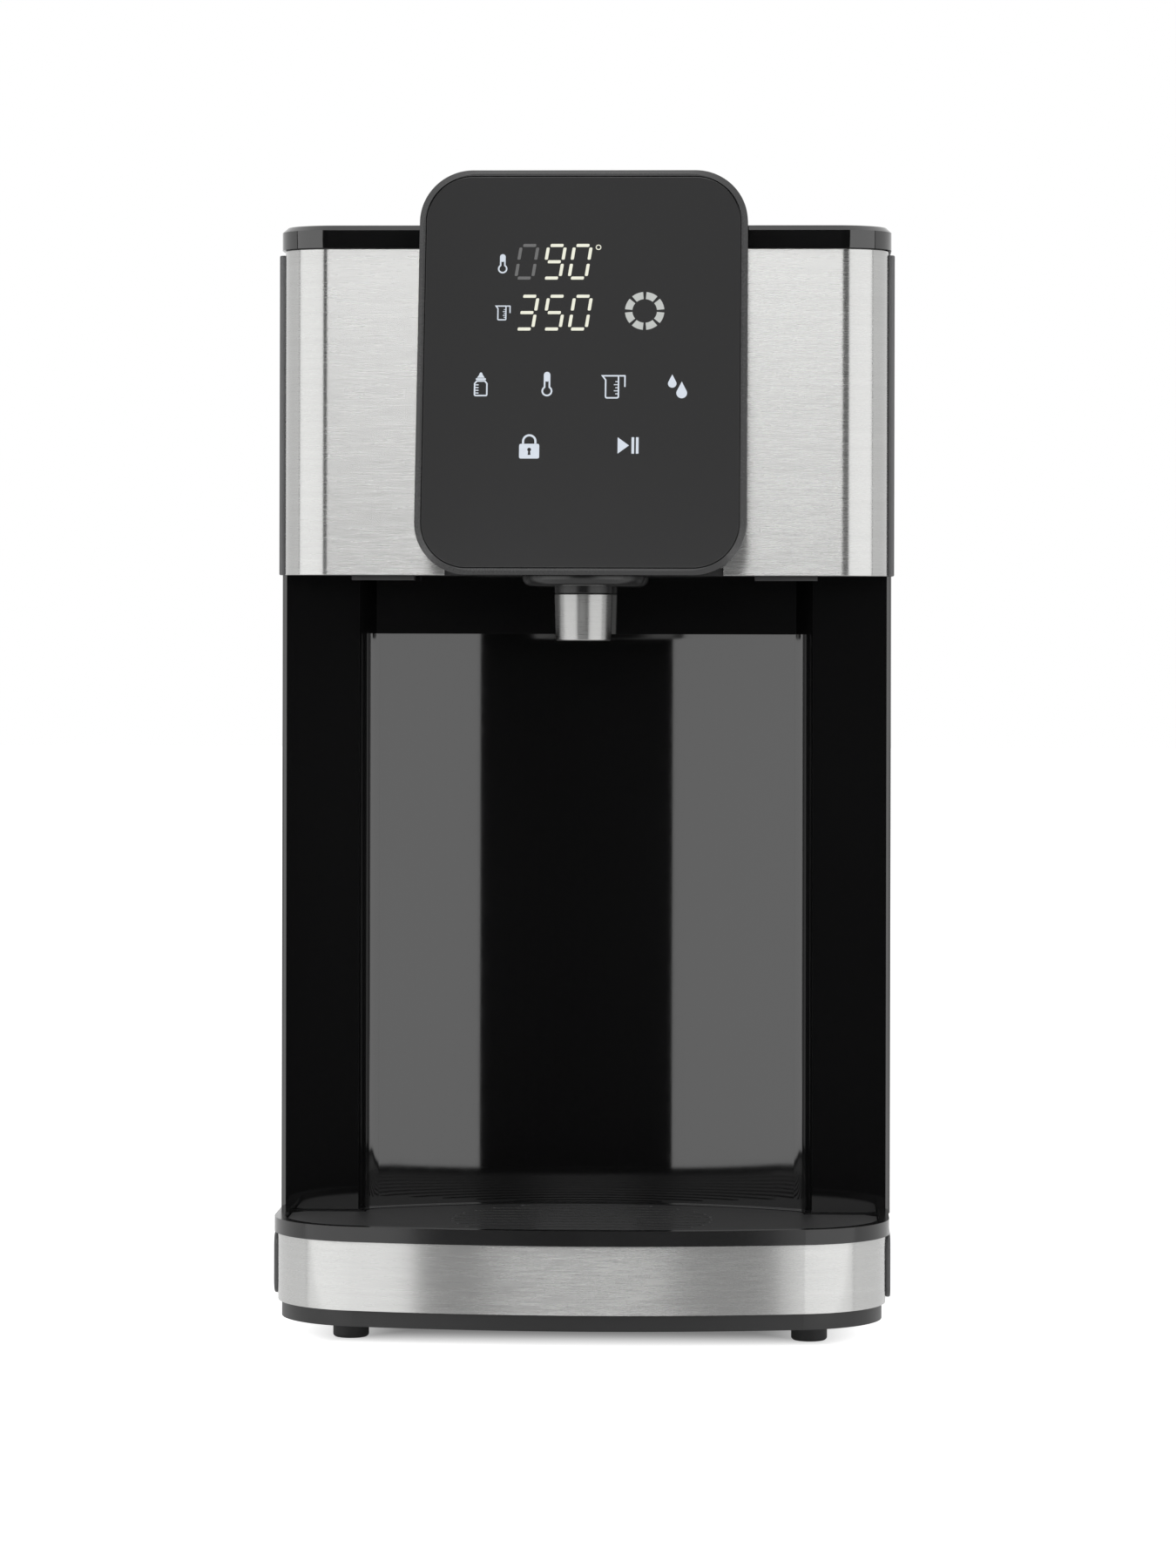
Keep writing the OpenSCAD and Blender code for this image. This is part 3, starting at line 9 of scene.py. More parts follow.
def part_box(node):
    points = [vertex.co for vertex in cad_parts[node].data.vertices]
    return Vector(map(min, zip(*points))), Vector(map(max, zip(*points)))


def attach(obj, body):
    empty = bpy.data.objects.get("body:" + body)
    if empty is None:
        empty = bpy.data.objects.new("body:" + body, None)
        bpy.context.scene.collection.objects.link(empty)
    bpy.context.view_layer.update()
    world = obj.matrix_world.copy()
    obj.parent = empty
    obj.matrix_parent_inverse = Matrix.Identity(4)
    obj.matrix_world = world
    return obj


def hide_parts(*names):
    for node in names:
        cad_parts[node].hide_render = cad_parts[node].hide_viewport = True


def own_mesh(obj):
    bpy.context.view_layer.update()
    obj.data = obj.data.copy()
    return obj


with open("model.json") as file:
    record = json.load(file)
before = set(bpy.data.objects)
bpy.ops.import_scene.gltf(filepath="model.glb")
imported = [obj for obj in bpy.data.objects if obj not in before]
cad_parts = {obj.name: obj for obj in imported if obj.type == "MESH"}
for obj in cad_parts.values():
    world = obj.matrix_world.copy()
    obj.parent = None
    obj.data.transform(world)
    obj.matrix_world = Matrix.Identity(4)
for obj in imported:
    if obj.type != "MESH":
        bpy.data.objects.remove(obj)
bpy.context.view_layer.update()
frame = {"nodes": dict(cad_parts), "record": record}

# Camera. It stands level in front of the dispenser and a little to its right, behind a long lens.
# The shift only brings the feet and the raised panel into one upright picture.

MM = 0.001
QUARTER_TURN = math.radians(90)
camera = bpy.data.objects.new("camera", bpy.data.cameras.new("camera"))
bpy.context.scene.collection.objects.link(camera)
bpy.context.scene.camera = camera
camera.data.lens = 120
camera.data.shift_y = -0.1145
camera.data.clip_end = 50
camera_place = (61.4 * MM, -1600.3 * MM, 208 * MM)
camera_turn = math.radians(2.3)
camera_roll = math.radians(0.126)
camera.matrix_world = (
    Matrix.Translation(camera_place)
    @ Matrix.Rotation(camera_turn, 4, "Z")
    @ Matrix.Rotation(QUARTER_TURN, 4, "X")
    @ Matrix.Rotation(camera_roll, 4, "Z")
)
bpy.context.scene.view_settings.view_transform = "Standard"

# Floor and room. A plain pale floor runs past the view, under a white room, and the camera sees both as
# white. The floor keeps the shadow the lamps cast, and round the object's footprint its glow fades: a painted
# shadow.
# In front of the object it doesn't show in gloss.


class Wire:
    """One output of a node. Arithmetic on it adds Math nodes to the same recipe."""

    def __init__(self, recipe, socket):
        self.recipe = recipe
        self.socket = socket

    def maths(self, operation, first, second):
        return self.recipe.node("ShaderNodeMath", {"operation": operation}, {0: first, 1: second})

    def __add__(self, other):
        return self.maths("ADD", self, other)

    __radd__ = __add__

    def __mul__(self, other):
        return self.maths("MULTIPLY", self, other)

    __rmul__ = __mul__

    def __sub__(self, other):
        return self.maths("SUBTRACT", self, other)

    def __rsub__(self, other):
        return self.maths("SUBTRACT", other, self)


class Recipe:
    """The nodes of one material, or of the world."""

    def __init__(self, owner):
        owner.use_nodes = True
        self.owner = owner
        self.tree = owner.node_tree

    def feed(self, node, inputs):
        """Sets a node's sockets, each to a value or to a wire."""
        for name, value in inputs.items():
            if isinstance(value, Wire):
                self.tree.links.new(value.socket, node.inputs[name])
            else:
                node.inputs[name].default_value = value

    def node(self, kind, settings=None, inputs=None, output=0):
        """Adds a node: its settings first, then its inputs. Gives the wire of one output."""
        made = self.tree.nodes.new(kind)
        for name, value in (settings or {}).items():
            setattr(made, name, value)
        self.feed(made, inputs or {})
        return Wire(self, made.outputs[output])

    def surface(self, inputs):
        """Sets the sockets of the material's own shader, and gives its wire."""
        shader = self.tree.nodes["Principled BSDF"]
        self.feed(shader, inputs)
        return Wire(self, shader.outputs[0])

    def bump(self, height, strength, depth):
        """A surface that follows that height. The depth is in millimetres."""
        return self.node("ShaderNodeBump", {}, {"Height": height, "Strength": strength, "Distance": depth * MM})

    def seen_by(self, *rays):
        """1 for rays of those kinds: Camera, Glossy or Transmission. 0 for the rays that carry light."""
        outputs = self.tree.nodes.new("ShaderNodeLightPath").outputs
        seen = 0.0
        for ray in rays:
            seen = Wire(self, outputs[f"Is {ray} Ray"]) + seen
        return self.node("ShaderNodeClamp", {}, {"Value": seen})


def recipe_for(name):
    """The recipe of a new material."""
    return Recipe(bpy.data.materials.new(name))


def grey(recipe, value, warmth=1.0):
    """The wire of a near-neutral colour from the wire of its brightness."""
    return recipe.node("ShaderNodeCombineColor", {}, {0: value, 1: value, 2: value * warmth})


def noise(recipe, scale, detail=2, stretch=(1, 1, 1)):
    """Noise in the object's own coordinates, with scale features to a metre."""
    place = recipe.node("ShaderNodeTexCoord", output=3)
    place = recipe.node("ShaderNodeMapping", {}, {"Vector": place, "Scale": stretch})
    return recipe.node("ShaderNodeTexNoise", {}, {"Vector": place, "Scale": scale, "Detail": detail})


def swing(wire, reach):
    """Noise runs from 0 to 1. This moves it to lie evenly round 0, over that reach."""
    return (wire - 0.5) * reach


WHITE = (1, 1, 1, 1)
room_fill = 0.42
floor_half = 6
floor_split = -0.155
floor_shade = 0.78
floor_cloud = 0.02
floor_glow = 0.95
floor_gloss_glow = 0.4
# Painted shadow: inside the footprint's edge the floor's glow fades to a share, over these depths in metres.
footprint = (0.0875, 0.145)
painted_shadow_depth = 0.04
painted_shadow_end = 0.003
painted_shadow_glow = 0.2

room = Recipe(bpy.data.worlds.new("room"))
bpy.context.scene.world = room.owner
room_seen = room.seen_by("Camera", "Glossy", "Transmission")
room.feed(room.tree.nodes["Background"], {
    "Color": WHITE,
    "Strength": room_seen * (1 - room_fill) + room_fill,
})

paper = recipe_for("floor_paper")
paper_shader = paper.surface({
    "Base Color": grey(paper, swing(noise(paper, 3), floor_cloud) + floor_shade),
    "Roughness": 0.9,
    "Specular IOR Level": 0,
})
paper_coords = paper.node("ShaderNodeTexCoord", output=3)
paper_beyond = []
for way, half in enumerate(footprint):
    along = paper.node("ShaderNodeSeparateXYZ", {}, {0: paper_coords}, output=way)
    paper_beyond.append(paper.node("ShaderNodeMath", {"operation": "ABSOLUTE"}, {0: along}) - half)
paper_away = paper.node("ShaderNodeMath", {"operation": "MAXIMUM"}, dict(enumerate(paper_beyond)))
# Under and just round the footprint the glow fades to a painted shadow, added to the shadow the lamps cast.
paper_painted_shadow = paper.node("ShaderNodeMapRange", {"interpolation_type": "SMOOTHSTEP"}, {
    "Value": paper_away, "From Min": -painted_shadow_depth, "From Max": -painted_shadow_end,
    "To Min": painted_shadow_glow, "To Max": 1,
})
paper_seen = paper.seen_by("Camera") * floor_glow + paper.seen_by("Glossy", "Transmission") * floor_gloss_glow
paper_glow = paper.node("ShaderNodeEmission", {}, {"Color": WHITE, "Strength": paper_seen * paper_painted_shadow})
paper.feed(paper.tree.nodes["Material Output"], {
    "Surface": paper.node("ShaderNodeAddShader", {}, {0: paper_shader, 1: paper_glow}),
})


def put(name, mould, materials):
    """Turns a bmesh into an object whose place is in its mesh."""
    mesh = bpy.data.meshes.new(name)
    mould.to_mesh(mesh)
    mould.free()
    for material in materials:
        mesh.materials.append(material)
    made = bpy.data.objects.new(name, mesh)
    bpy.context.scene.collection.objects.link(made)
    return made


for name, near, far in (("floor", floor_split, floor_half), ("floor_front", -floor_half, floor_split)):
    floor_mould = bmesh.new()
    bmesh.ops.create_grid(floor_mould, x_segments=1, y_segments=1, size=1, matrix=(
        Matrix.Translation((0, (near + far) / 2, 0)) @ Matrix.Diagonal((floor_half, (far - near) / 2, 1, 1))
    ))
    floor = put(name, floor_mould, [paper.owner])
    floor.visible_glossy = floor.visible_shadow = name == "floor"

# Studio. Two tall softboxes stand in front at the left and the right, and three small ones hang over the
# camera. A black screen bends round behind them and keeps the flat gloss faces dark between the lights.

object_middle = Vector((0, -0.09, 0.17))
box_distance = 1.3
box_low, box_high = -0.3, 1.35
box_middle = (box_low + box_high) / 2
box_radiance = 1.56


def softbox(name, place, aim, size, radiance):
    """An area lamp at that place that faces another one."""
    lamp = bpy.data.lights.new(name, "AREA")
    lamp.shape = "RECTANGLE"
    lamp.size, lamp.size_y = size
    lamp.energy = radiance * math.pi * size[0] * size[1]
    made = bpy.data.objects.new(name, lamp)
    bpy.context.scene.collection.objects.link(made)
    turned = (place - aim).to_track_quat("Z", "Y").to_matrix().to_4x4()
    made.matrix_world = Matrix.Translation(place) @ turned
    made.visible_camera = False


def around(bearing, distance, z):
    """A place round the middle of the object. Bearing 0 is straight in front, and the right is positive."""
    turn = math.radians(bearing)
    return Vector((distance * math.sin(turn), object_middle.y - distance * math.cos(turn), z))


def span(angle):
    """The width that fills an angle, in degrees, at the distance of the softboxes."""
    return 2 * box_distance * math.tan(math.radians(angle) / 2)


for side, inner, outer in (("left", -23.1, -84), ("right", 24.5, 84)):
    softbox(
        "softbox_" + side,
        around((inner + outer) / 2, box_distance, box_middle), Vector((0, object_middle.y, box_middle)),
        (span(abs(outer - inner)), box_high - box_low), box_radiance,
    )
for name, bearing, width, low, high, radiance in (
    ("low", -2.2, 0.54, 13, 25, 5.0),
    ("middle", 0, 0.4, 26.5, 41, 0.65),
    ("high", 0, 0.5, 42, 80, 3.0),
):
    rise = math.radians((low + high) / 2)
    place = around(bearing, box_distance * math.cos(rise), object_middle.z + box_distance * math.sin(rise))
    softbox("softbox_over_" + name, place, object_middle, (width, span(high - low)), radiance)

screen_distance = 2.6
screen_heights = (-0.4, 4.4)
screen_reach = 86
screen_steps = 43
felt_shade = 0.004
felt = recipe_for("screen_felt")
felt.surface({
    "Base Color": grey(felt, swing(noise(felt, 200), felt_shade) + felt_shade),
    "Roughness": 1,
    "Specular IOR Level": 0,
})
screen_mould = bmesh.new()
screen_posts = []
for step in range(screen_steps + 1):
    bearing = screen_reach * (2 * step / screen_steps - 1)
    post = [around(bearing, screen_distance, z) for z in screen_heights]
    screen_posts.append([screen_mould.verts.new(end) for end in post])
for post, beyond in zip(screen_posts, screen_posts[1:]):
    screen_mould.faces.new((post[1], post[0], beyond[0], beyond[1]))
screen = put("screen", screen_mould, [felt.owner])
screen.visible_camera = screen.visible_diffuse = screen.visible_shadow = False

# Base, lower part: four rubber feet, snapped through a black bottom plate, and four zinc-plated screws.
# The plate and the feet are moulded, with a fine spark-eroded grain.

body_of = {node: body for body, nodes in frame["record"]["behaviour"]["bodies"].items() for node in nodes}
CREASE = math.radians(28)
COPLANAR = math.radians(0.2)
SHADING_BREAK = math.radians(40)
WELD = 0.002 * MM


def dress(node, material):
    """Gives a CAD node that stays in view its finish."""
    layers = frame["nodes"][node].data.materials
    layers.clear()
    layers.append(material)


def soften(node, material, radius, segments=2):
    """A copy of a CAD piece with its sharp edges rounded, to a radius in millimetres. It rides on its body."""
    mould = bmesh.new()
    mould.from_mesh(frame["nodes"][node].data)
    bmesh.ops.remove_doubles(mould, verts=mould.verts, dist=WELD)
    bmesh.ops.dissolve_limit(mould, angle_limit=COPLANAR, verts=mould.verts, edges=mould.edges)
    sharp = [edge for edge in mould.edges if edge.is_manifold and edge.calc_face_angle() > CREASE]
    bmesh.ops.bevel(
        mould, geom=sharp, offset=radius * MM, offset_type="OFFSET", segments=segments,
        profile=0.5, affect="EDGES", clamp_overlap=True, material=-1,
    )
    for face in mould.faces:
        face.smooth = True
    made = put(node + "_form", mould, [material])
    made.data.set_sharp_from_angle(angle=SHADING_BREAK)
    made.modifiers.new("even_normals", "WEIGHTED_NORMAL").keep_sharp = True
    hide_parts(node)
    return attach(made, body_of[node])


def moulded(name, shade, roughness, grain=0.12, grain_size=0.35, warmth=1.02, mottle=0.12):
    """Satin moulded plastic: spark-eroded grain, with faint flow marks in its colour and sheen."""
    recipe = recipe_for(name)
    flow = noise(recipe, 28, 3)
    fine = noise(recipe, 1 / (grain_size * MM), 1)
    value = swing(flow, shade * 2 * mottle) + swing(fine, shade * mottle) + shade
    recipe.surface({
        "Base Color": grey(recipe, value, warmth),
        "Roughness": swing(flow, 0.12) + swing(fine, 0.1) + roughness,
        "Normal": recipe.bump(fine, grain, 0.02),
    })
    return recipe.owner


foot_rubber = moulded("foot_rubber", 0.02, 0.62, grain=0.25, grain_size=0.5)
plate_black = moulded("plate_black", 0.007, 0.42)
soften("rubber_feet", foot_rubber, 0.25)
soften("base_plate", plate_black, 0.35)


def plated(name, shade, roughness, cloudy=0.1, warmth=0.98):
    """Plain metal with a faintly uneven surface."""
    recipe = recipe_for(name)
    cloud = noise(recipe, 160, 3)
    fine = noise(recipe, 2600, 1)
    recipe.surface({
        "Base Color": grey(recipe, swing(cloud, shade * cloudy) + shade, warmth),
        "Metallic": 1,
        "Roughness": swing(cloud, 0.14) + swing(fine, 0.06) + roughness,
        "Normal": recipe.bump(fine, 0.08, 0.02),
    })
    return recipe.owner


zinc = plated("zinc_plate", 0.5, 0.34)
dress("base_screws", zinc)

# Base, upper part: a moulded housing, a brushed steel band bent round its bowed front, two satin side trims
# and the bushing for the cord. The steel is brushed level, so it spreads light up and down, not sideways.


def brushed(name, shade, roughness, spread, along=(130, 130, 3200)):
    """Brushed stainless steel. The hairlines run level round the piece."""
    recipe = recipe_for(name)
    hairs = noise(recipe, 1, 3, along)
    strands = noise(recipe, 1, 2, tuple(n / 5 for n in along))
    cloud = noise(recipe, 14, 2)
    marks = swing(hairs, 0.13) + swing(strands, 0.1) + swing(cloud, 0.05)
    recipe.surface({
        "Base Color": grey(recipe, marks * shade + shade, 0.985),
        "Metallic": 1,
        "Roughness": swing(hairs, 0.16) + swing(cloud, 0.05) + roughness,
        "Anisotropic": spread,
        "Anisotropic Rotation": 0.25,
        "Normal": recipe.bump(hairs, 0.035, 0.01),
    })
    return recipe.owner


steel = brushed("brushed_steel", 0.5, 0.26, 1.0)
# The trims are the black satin of the side panels with a paler shade: a painted sheen for the grazing light
# they catch.
trim_satin = moulded("trim_satin", 0.075, 0.36)
housing_black = moulded("housing_black", 0.018, 0.4)
soften("base_housing", housing_black, 0.3)
soften("base_band", steel, 0.38)
for side in ("left", "right"):
    soften("base_trim_" + side, trim_satin, 0.5, 3)
soften("cord_gland", foot_rubber, 0.3)

# Drip tray: a satin black moulding whose narrow rim lies over the steel band, and whose basin hangs in the
# housing. The grille is a loose plate with a coarser, drier grain.

tray_satin = moulded("tray_satin", 0.008, 0.16)
grille_grain = moulded("grille_grain", 0.02, 0.5, grain=0.4, grain_size=0.6)
soften("drip_tray", tray_satin, 0.45, 3)
soften("drip_grille", grille_grain, 0.25)

# Column: one glossy black moulding makes the pillar faces and the hollow recess between them.
# Satin panels close its sides, and a plain wall closes the back, behind the tank.


def glossy(name, shade, roughness=0.055, wave=0.5, satin=None):
    """High gloss black plastic, a mirror that is not quite even. Between two heights it may turn to satin."""
    recipe = recipe_for(name)
    swell = noise(recipe, 22, 1, (1, 1, 0.35))
    peel = noise(recipe, 260, 2)
    coarse = swing(peel, 0.03) + roughness
    if satin:
        place = recipe.node("ShaderNodeTexCoord", output=3)
        coarse = coarse + recipe.node("ShaderNodeMapRange", {}, {
            "Value": recipe.node("ShaderNodeSeparateXYZ", {}, {0: place}, output=2),
            "From Min": satin[0], "From Max": satin[1], "To Min": 0, "To Max": 0.42,
        })
    recipe.surface({
        "Base Color": grey(recipe, swing(swell, shade * 0.3) + shade, 1.03),
        "Roughness": coarse,
        "IOR": 1.75,
        "Normal": recipe.bump(swell + peel * 0.01, wave, 0.12),
    })
    return recipe.owner


gloss_shade = 0.0035
gloss_black = glossy("gloss_black", gloss_shade)
side_satin = moulded("side_satin", 0.012, 0.3)
soften("niche_wall", gloss_black, 0.4)
for side in ("left", "right"):
    soften("side_panel_" + side, side_satin, 0.3)
soften("rear_wall", housing_black, 0.3)

# Head: a brushed steel sheet is bent round a moulded frame, and two satin strips cover its ends. A cover
# lies on top, with a gloss black bevel round a satin face. A black floor closes the head over the niche.

cover_top = max(vert.co.z for vert in frame["nodes"]["top_cover"].data.vertices)
satin_low, satin_high = cover_top - 0.12 * MM, cover_top - 0.02 * MM
cover_black = glossy("cover_black", gloss_shade, satin=(satin_low, satin_high))
soften("steel_wrap", steel, 0.2)
for side in ("left", "right"):
    soften("head_side_" + side, trim_satin, 0.35)
dress("head_frame", housing_black)
soften("head_floor", housing_black, 0.3)
soften("top_cover", cover_black, 0.3)

# Control panel: a satin black housing on the head's front leans back and rises above the cover.
# It holds a sheet of dark glass, let in flush with its rim.

panel_satin = moulded("panel_satin", 0.02, 0.26, grain=0.05)


def tinted_glass(name, shade):
    """Dark glass with a silky face, as it is when its back is printed black."""
    recipe = recipe_for(name)
    cloud = noise(recipe, 18, 2)
    fine = noise(recipe, 3000, 1)
    recipe.surface({
        "Base Color": grey(recipe, swing(cloud, shade * 0.1) + shade, 1.03),
        "Roughness": swing(cloud, 0.02) + 0.12,
        "Normal": recipe.bump(fine, 0.02, 0.01),
    })
    return recipe.owner


panel_glass = tinted_glass("panel_glass", 0.008)
soften("panel_housing", panel_satin, 0.18)
soften("panel_glass", panel_glass, 0.25, 3)

# Signs on the glass: lit digits in seven bars, a ring of eight bars, and plain pictograms for the touch keys.
# They shine through clear windows in the black print, so each is a thin plate on the glass.
# Places are measured from the middle of the glass's lower edge, along the glass.

panel_lean = math.radians(13.4)
glass_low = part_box("panel_glass")[0]
sign_t = 0.05 * MM
glass_face = (
    Matrix.Translation((0, glass_low.y, glass_low.z)) @ Matrix.Rotation(QUARTER_TURN - panel_lean, 4, "X")
)


def arc(x, y, r, start, stop, steps):
    """Points on an arc, from one angle to another, in degrees."""
    turns = [math.radians(start + (stop - start) * i / steps) for i in range(steps + 1)]
    return [(x + r * math.cos(a), y + r * math.sin(a)) for a in turns]


def plate(mould, points, place=(0, 0), stroke=0):
    """A thin plate of that outline, in millimetres. With a stroke, only a line of that width along its edge."""
    corners = [mould.verts.new(((x + place[0]) * MM, (y + place[1]) * MM, 0)) for x, y in points]
    face = mould.faces.new(corners)
    face.normal_update()
    if face.normal.z < 0:
        face.normal_flip()
    kept = [face]
    if stroke:
        kept = bmesh.ops.inset_region(
            mould, faces=[face], thickness=stroke * MM, use_even_offset=True, use_boundary=True,
        )["faces"]
        bmesh.ops.delete(mould, geom=[face], context="FACES")
    raised = bmesh.ops.extrude_face_region(mould, geom=kept)["geom"]
    upper = [piece for piece in raised if isinstance(piece, bmesh.types.BMVert)]
    bmesh.ops.translate(mould, verts=upper, vec=(0, 0, sign_t))


def bar(mould, x, y, w, h, r=0.0, slant=0.0):
    """A bar with round corners, leaning to the right by its slant. Without a radius its ends are round."""
    roundest = min(w, h) / 2 - 0.01
    r = min(r or roundest, roundest)
    points = []
    for cx, cy, start in ((1, 1, 0), (-1, 1, 90), (-1, -1, 180), (1, -1, 270)):
        points += arc(x + cx * (w / 2 - r), y + cy * (h / 2 - r), r, start, start + 90, 4)
    plate(mould, [(px + slant * py, py) for px, py in points])


def on_glass(name, mould, material):
    """Lays the finished plates on the glass."""
    bmesh.ops.transform(mould, matrix=glass_face, verts=mould.verts)
    made = put(name, mould, [material])
    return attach(made, "body")


def lit(name, colour, weakest=0.86):
    """Light that comes through a printed window, a little uneven, as from a diode behind it."""
    recipe = recipe_for(name)
    shine = recipe.node("ShaderNodeMix", {"data_type": "RGBA"}, {
        0: noise(recipe, 420, 1), 6: tuple(weakest * c for c in colour) + (1,), 7: colour + (1,),
    }, output=2)
    recipe.surface({
        "Base Color": (0.02, 0.02, 0.02, 1),
        "Roughness": 0.3,
        "Emission Color": shine,
        "Emission Strength": 1,
    })
    return recipe.owner


digit_light = lit("digit_light", (0.86, 0.86, 0.72))
digit_dim = lit("digit_dim", (0.10, 0.10, 0.10))
sign_light = lit("sign_light", (0.66, 0.72, 0.80))
ring_light = lit("ring_light", (0.50, 0.52, 0.50))

digit_h = 9.7
digit_gap = 4.8
bar_t = 0.9
bar_r = 0.3
level_bar, upright_bar = 3.7, 3.6
digit_slant = 0.15
digit_bars = {
    "top": (0, digit_h / 2, level_bar, bar_t),
    "middle": (0, 0, level_bar, bar_t),
    "foot": (0, -digit_h / 2, level_bar, bar_t),
    "upper_left": (-digit_gap / 2, digit_h / 4, bar_t, upright_bar),
    "upper_right": (digit_gap / 2, digit_h / 4, bar_t, upright_bar),
    "lower_left": (-digit_gap / 2, -digit_h / 4, bar_t, upright_bar),
    "lower_right": (digit_gap / 2, -digit_h / 4, bar_t, upright_bar),
}
digit_off = {
    "0": ["middle"],
    "9": ["lower_left"],
    "3": ["upper_left", "lower_left"],
    "5": ["upper_right", "lower_left"],
}
row_temperature = 89.8
row_volume = 74.7
column_x = (-16.0, -8.2, -0.8)
volume_shift = 0.2
degree_x, degree_y, degree_r, degree_stroke = 4.37, 94.1, 0.8, 0.26


def digit(mould, figure, x, y):
    """One figure of the display."""
    for name, (bx, by, w, h) in digit_bars.items():
        if name not in digit_off[figure]:
            bar(mould, bx + x - digit_slant * y, by + y, w, h, bar_r, digit_slant)


shown = bmesh.new()
faint = bmesh.new()
digit(faint, "0", column_x[0], row_temperature)
digit(shown, "9", column_x[1], row_temperature)
digit(shown, "0", column_x[2], row_temperature)
for figure, x in zip("350", column_x):
    digit(shown, figure, x + volume_shift, row_volume)
plate(shown, arc(degree_x, degree_y, degree_r, 0, 337.5, 15), stroke=degree_stroke)
on_glass("display_digits", shown, digit_light)
on_glass("display_digit_faint", faint, digit_dim)

ring_x, ring_y = 17.7, 75.2
ring_outer, ring_inner = 5.6, 3.5
ring_bars, ring_gap = 8, 10
ring = bmesh.new()
for i in range(ring_bars):
    start = 360 / ring_bars * i + ring_gap / 2
    stop = start + 360 / ring_bars - ring_gap
    outline = arc(ring_x, ring_y, ring_outer, start, stop, 10)
    plate(ring, outline + arc(ring_x, ring_y, ring_inner, stop, start, 10))
on_glass("display_ring", ring, ring_light)

signs = bmesh.new()


def thermometer(x, y, h, w, stroke):
    """A tube over a bulb, drawn as a line, with its upper end filled."""
    bulb = w / 2
    tube = w * 0.3
    opening = math.degrees(math.asin(tube / bulb))
    low = y - h / 2 + bulb
    outline = arc(x, low, bulb, 90 + opening, 450 - opening, 24) + arc(x, y + h / 2 - tube, tube, 0, 180, 10)
    plate(signs, outline, stroke=stroke)
    bar(signs, x, y + h * 0.28, 2 * tube - 0.1, h * 0.36, tube)


def jug(x, y, w, h, stroke):
    """A measuring jug: body with a spout at the left, scale at the right, and a hooked handle."""
    right, left = x + w * 0.24, x - w * 0.34
    top, low = y + h / 2, y - h / 2
    r = 0.09 * h
    outline = (
        [(x - w / 2, top), (left, top - 0.22 * h)]
        + arc(left + r, low + r, r, 180, 270, 5) + arc(right - r, low + r, r, 270, 360, 5)
        + [(right, top)]
    )
    plate(signs, outline, stroke=stroke)
    bar(signs, (right + x + w / 2) / 2, top - stroke / 2, x + w / 2 - right, stroke)
    bar(signs, x + w / 2 - stroke / 2, top - 0.26 * h, stroke, 0.5 * h)
    for i in range(5):
        long = 0.16 if i % 2 else 0.1
        bar(signs, right - stroke - w * long / 2, low + h * (0.2 + 0.13 * i), w * long, stroke * 0.6)


def drop(x, y, h):
    """A filled drop with a pointed top."""
    r = h * 0.31
    low = y - h / 2 + r
    plate(signs, arc(x, low, r, 150, 390, 20) + [(x, y + h / 2)])


thermometer(-22.9, 89.2, 5.7, 2.7, 0.42)
jug(-22.7, 74.6, 4.5, 4.4, 0.34)
key_row = 53.3
thermometer(-9.8, key_row + 0.3, 7.2, 3.1, 0.48)
jug(9.0, key_row - 0.5, 7.0, 6.9, 0.42)
drop(25.7, key_row + 1.2, 3.9)
drop(28.4, key_row - 1.4, 4.9)

bottle_x, bottle_low = -28.6, key_row - 3.3
bottle_half, bottle_h, bottle_r = 1.95, 4.7, 0.5
bottle_top = bottle_low + bottle_h
shoulder = bottle_top - 0.9
neck_half = 1.25
teat_h, teat_r = 2.3, 0.4
teat_side = ((1.1, 0.75), (0.6, 1.45))
plate(signs, (
    arc(bottle_x - bottle_half + bottle_r, bottle_low + bottle_r, bottle_r, 180, 270, 4)
    + arc(bottle_x + bottle_half - bottle_r, bottle_low + bottle_r, bottle_r, 270, 360, 4)
    + [(bottle_x + bottle_half, shoulder), (bottle_x + neck_half, bottle_top)]
    + [(bottle_x - neck_half, bottle_top), (bottle_x - bottle_half, shoulder)]
), stroke=0.42)
bar(signs, bottle_x, bottle_top + 0.35, 2 * neck_half + 0.4, 0.5)
plate(signs, (
    [(bottle_x + out, bottle_top + up) for out, up in teat_side]
    + arc(bottle_x, bottle_top + teat_h - teat_r, teat_r, 0, 180, 8)
    + [(bottle_x - out, bottle_top + up) for out, up in reversed(teat_side)]
))
for i in range(4):
    bar(signs, bottle_x - bottle_half + 0.9, bottle_low + 0.95 + 0.8 * i, 0.9, 0.3)

lock_x, lock_y = -14.6, 33.9
shackle_outer, shackle_inner = 2.05, 1.45
shackle_foot, shackle_bend = lock_y + 2.2, lock_y + 2.9
bar(signs, lock_x, lock_y, 5.7, 4.3, 0.5)
plate(signs, (
    [(lock_x + shackle_outer, shackle_foot)]
    + arc(lock_x, shackle_bend, shackle_outer, 0, 180, 16)
    + [(lock_x - shackle_outer, shackle_foot), (lock_x - shackle_inner, shackle_foot)]
    + arc(lock_x, shackle_bend, shackle_inner, 180, 0, 16)
    + [(lock_x + shackle_inner, shackle_foot)]
))
play_x, play_y = 13.4, 35.6
play_left, play_tip, play_half = play_x - 3.0, play_x + 0.2, 2.4
plate(signs, [(play_left, play_y - play_half), (play_tip, play_y), (play_left, play_y + play_half)])
for x in (1.3, 2.55):
    bar(signs, play_x + x, play_y, 0.75, 2 * play_half, 0.1)
on_glass("key_signs", signs, sign_light)

keyhole = bmesh.new()
plate(keyhole, arc(0, 0.45, 0.55, -60, 240, 14) + [(-0.42, -1.1), (0.42, -1.1)], (lock_x, lock_y))
bmesh.ops.translate(keyhole, verts=keyhole.verts, vec=(0, 0, sign_t * 0.4))
on_glass("key_sign_lock_hole", keyhole, panel_glass)

# Parts behind the glass: a white light box round the digits, soft contacts for the touch keys, and the
# board that carries both.


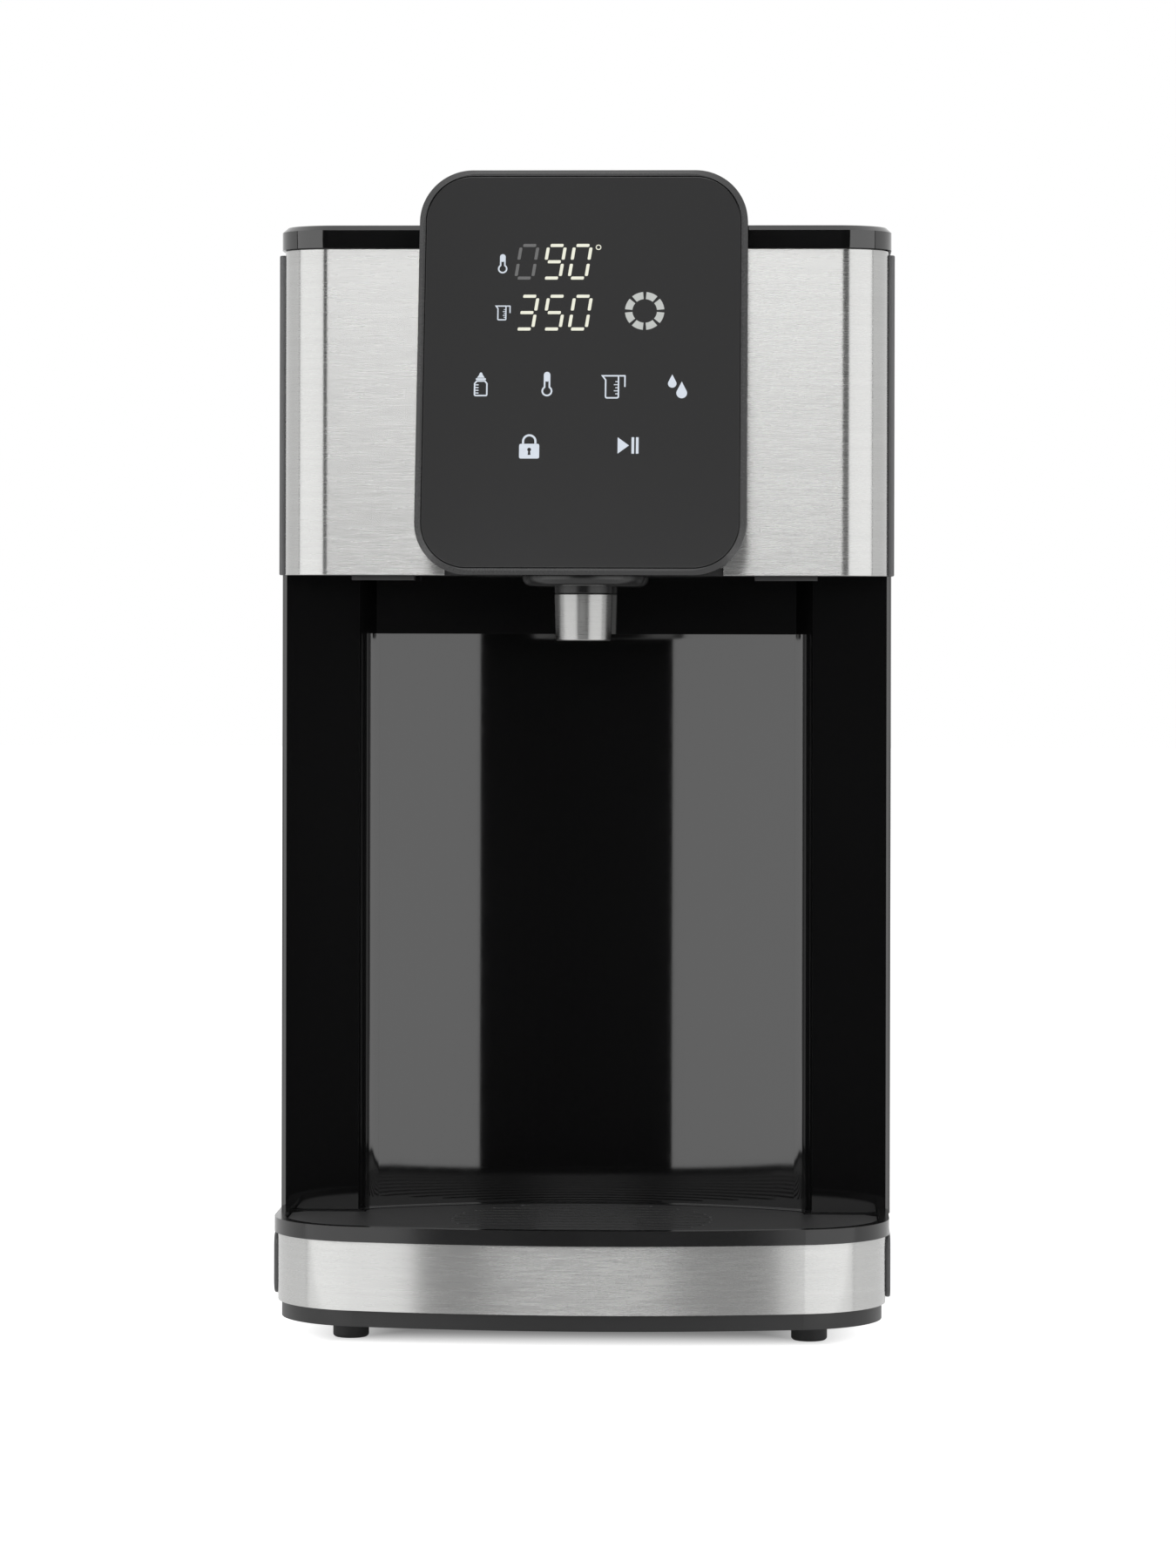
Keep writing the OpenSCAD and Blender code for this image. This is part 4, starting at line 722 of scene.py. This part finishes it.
def board(name):
    """Green solder mask with fine copper tracks under it."""
    recipe = recipe_for(name)
    tracks = recipe.node("ShaderNodeTexBrick", {"offset": 0.5}, {
        "Vector": recipe.node("ShaderNodeTexCoord", output=3), "Scale": 220, "Mortar Size": 0.03,
        "Color1": (0.012, 0.09, 0.03, 1), "Color2": (0.01, 0.075, 0.026, 1), "Mortar": (0.05, 0.19, 0.06, 1),
    })
    recipe.surface({"Base Color": tracks, "Roughness": swing(noise(recipe, 90), 0.2) + 0.35})
    return recipe.owner


white_plastic = moulded("white_plastic", 0.75, 0.4, warmth=0.96, mottle=0.05)
contact_rubber = moulded("contact_rubber", 0.05, 0.6)
circuit_green = board("circuit_green")
dress("light_box", white_plastic)
dress("touch_pads", contact_rubber)
dress("display_board", circuit_green)

# Outlet: a gloss black block and a satin rosette under the head, a collar, and a brushed steel sleeve.
# A soft white insert inside the sleeve shapes the stream.

sleeve_steel = brushed("sleeve_steel", 0.35, 0.3, 0.5, (90, 90, 5200))
soften("outlet_block", gloss_black, 0.35)
outlet_satin = moulded("outlet_satin", 0.008, 0.3)
soften("nozzle_rosette", outlet_satin, 0.2)
soften("nozzle_collar", outlet_satin, 0.2)
soften("nozzle_sleeve", sleeve_steel, 0.15)
soft_white = moulded("soft_white", 0.7, 0.5, warmth=0.97, mottle=0.04)
dress("nozzle_insert", soft_white)

# Water works inside the column and the head: heater, pump, flow meter and the silicone hoses between them,
# with the power board and its heat sink.

polished = plated("heater_steel", 0.6, 0.16)
grey_plastic = moulded("grey_plastic", 0.12, 0.45)
cream_plastic = moulded("cream_plastic", 0.6, 0.42, warmth=0.8)
pump_black = moulded("pump_black", 0.03, 0.45)
motor_can = plated("motor_can", 0.45, 0.3)
brass = plated("brass", 0.5, 0.3, warmth=0.55)
aluminium = plated("aluminium", 0.65, 0.38)
silicone = moulded("silicone", 0.55, 0.5, mottle=0.05)
for node, finish in {
    "heater_tube": polished, "heater_caps": white_plastic, "heater_straps": zinc,
    "thermal_cutouts": cream_plastic, "temperature_sensor": brass,
    "pump_motor": motor_can, "pump_housing": pump_black, "pump_cover": pump_black,
    "pump_impeller": cream_plastic, "pump_bracket": contact_rubber,
    "meter_body": silicone, "meter_cap": silicone, "meter_turbine": cream_plastic,
    "inlet_hose": silicone, "pump_hose": silicone, "heater_hose": silicone, "outlet_hose": silicone,
    "power_board": circuit_green, "heat_sink": aluminium, "level_sensor": grey_plastic,
}.items():
    dress(node, finish)

# Tank socket in the deck: a black cup with the pin that opens the tank's valve, a red seal, and a steel
# sieve that keeps scale out of the pump.

seal_red = moulded("seal_red", 0.12, 0.5, warmth=0.3)
soften("tank_socket", housing_black, 0.25)
dress("socket_seal", seal_red)
dress("inlet_sieve", polished)

# Tank: smoke grey clear plastic, with a white valve and float inside.
# In the real valve the spring is pressed together as the valve lifts; here the spring only gets a mesh of its
# own.


def smoke(name, shade):
    """Clear plastic with a grey tint."""
    recipe = recipe_for(name)
    cloud = noise(recipe, 24, 2)
    recipe.surface({
        "Base Color": grey(recipe, swing(cloud, shade * 0.1) + shade, 1.02),
        "Roughness": swing(cloud, 0.03) + 0.05,
        "IOR": 1.49,
        "Transmission Weight": 1,
    })
    return recipe.owner


tank_smoke = smoke("tank_smoke", 0.42)
soften("water_tank", tank_smoke, 0.3)
soften("valve_body", white_plastic, 0.2)
dress("valve_plunger", seal_red)
spring = soften("valve_spring", polished, 0.04, 1)
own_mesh(spring)
soften("level_float", white_plastic, 0.6)

# Lid: a black plate with a skirt, satin on top like the cover.
# It is hinged at its front edge on two steel pins.

soften("tank_lid", cover_black, 0.35)
dress("lid_hinge_pins", polished)
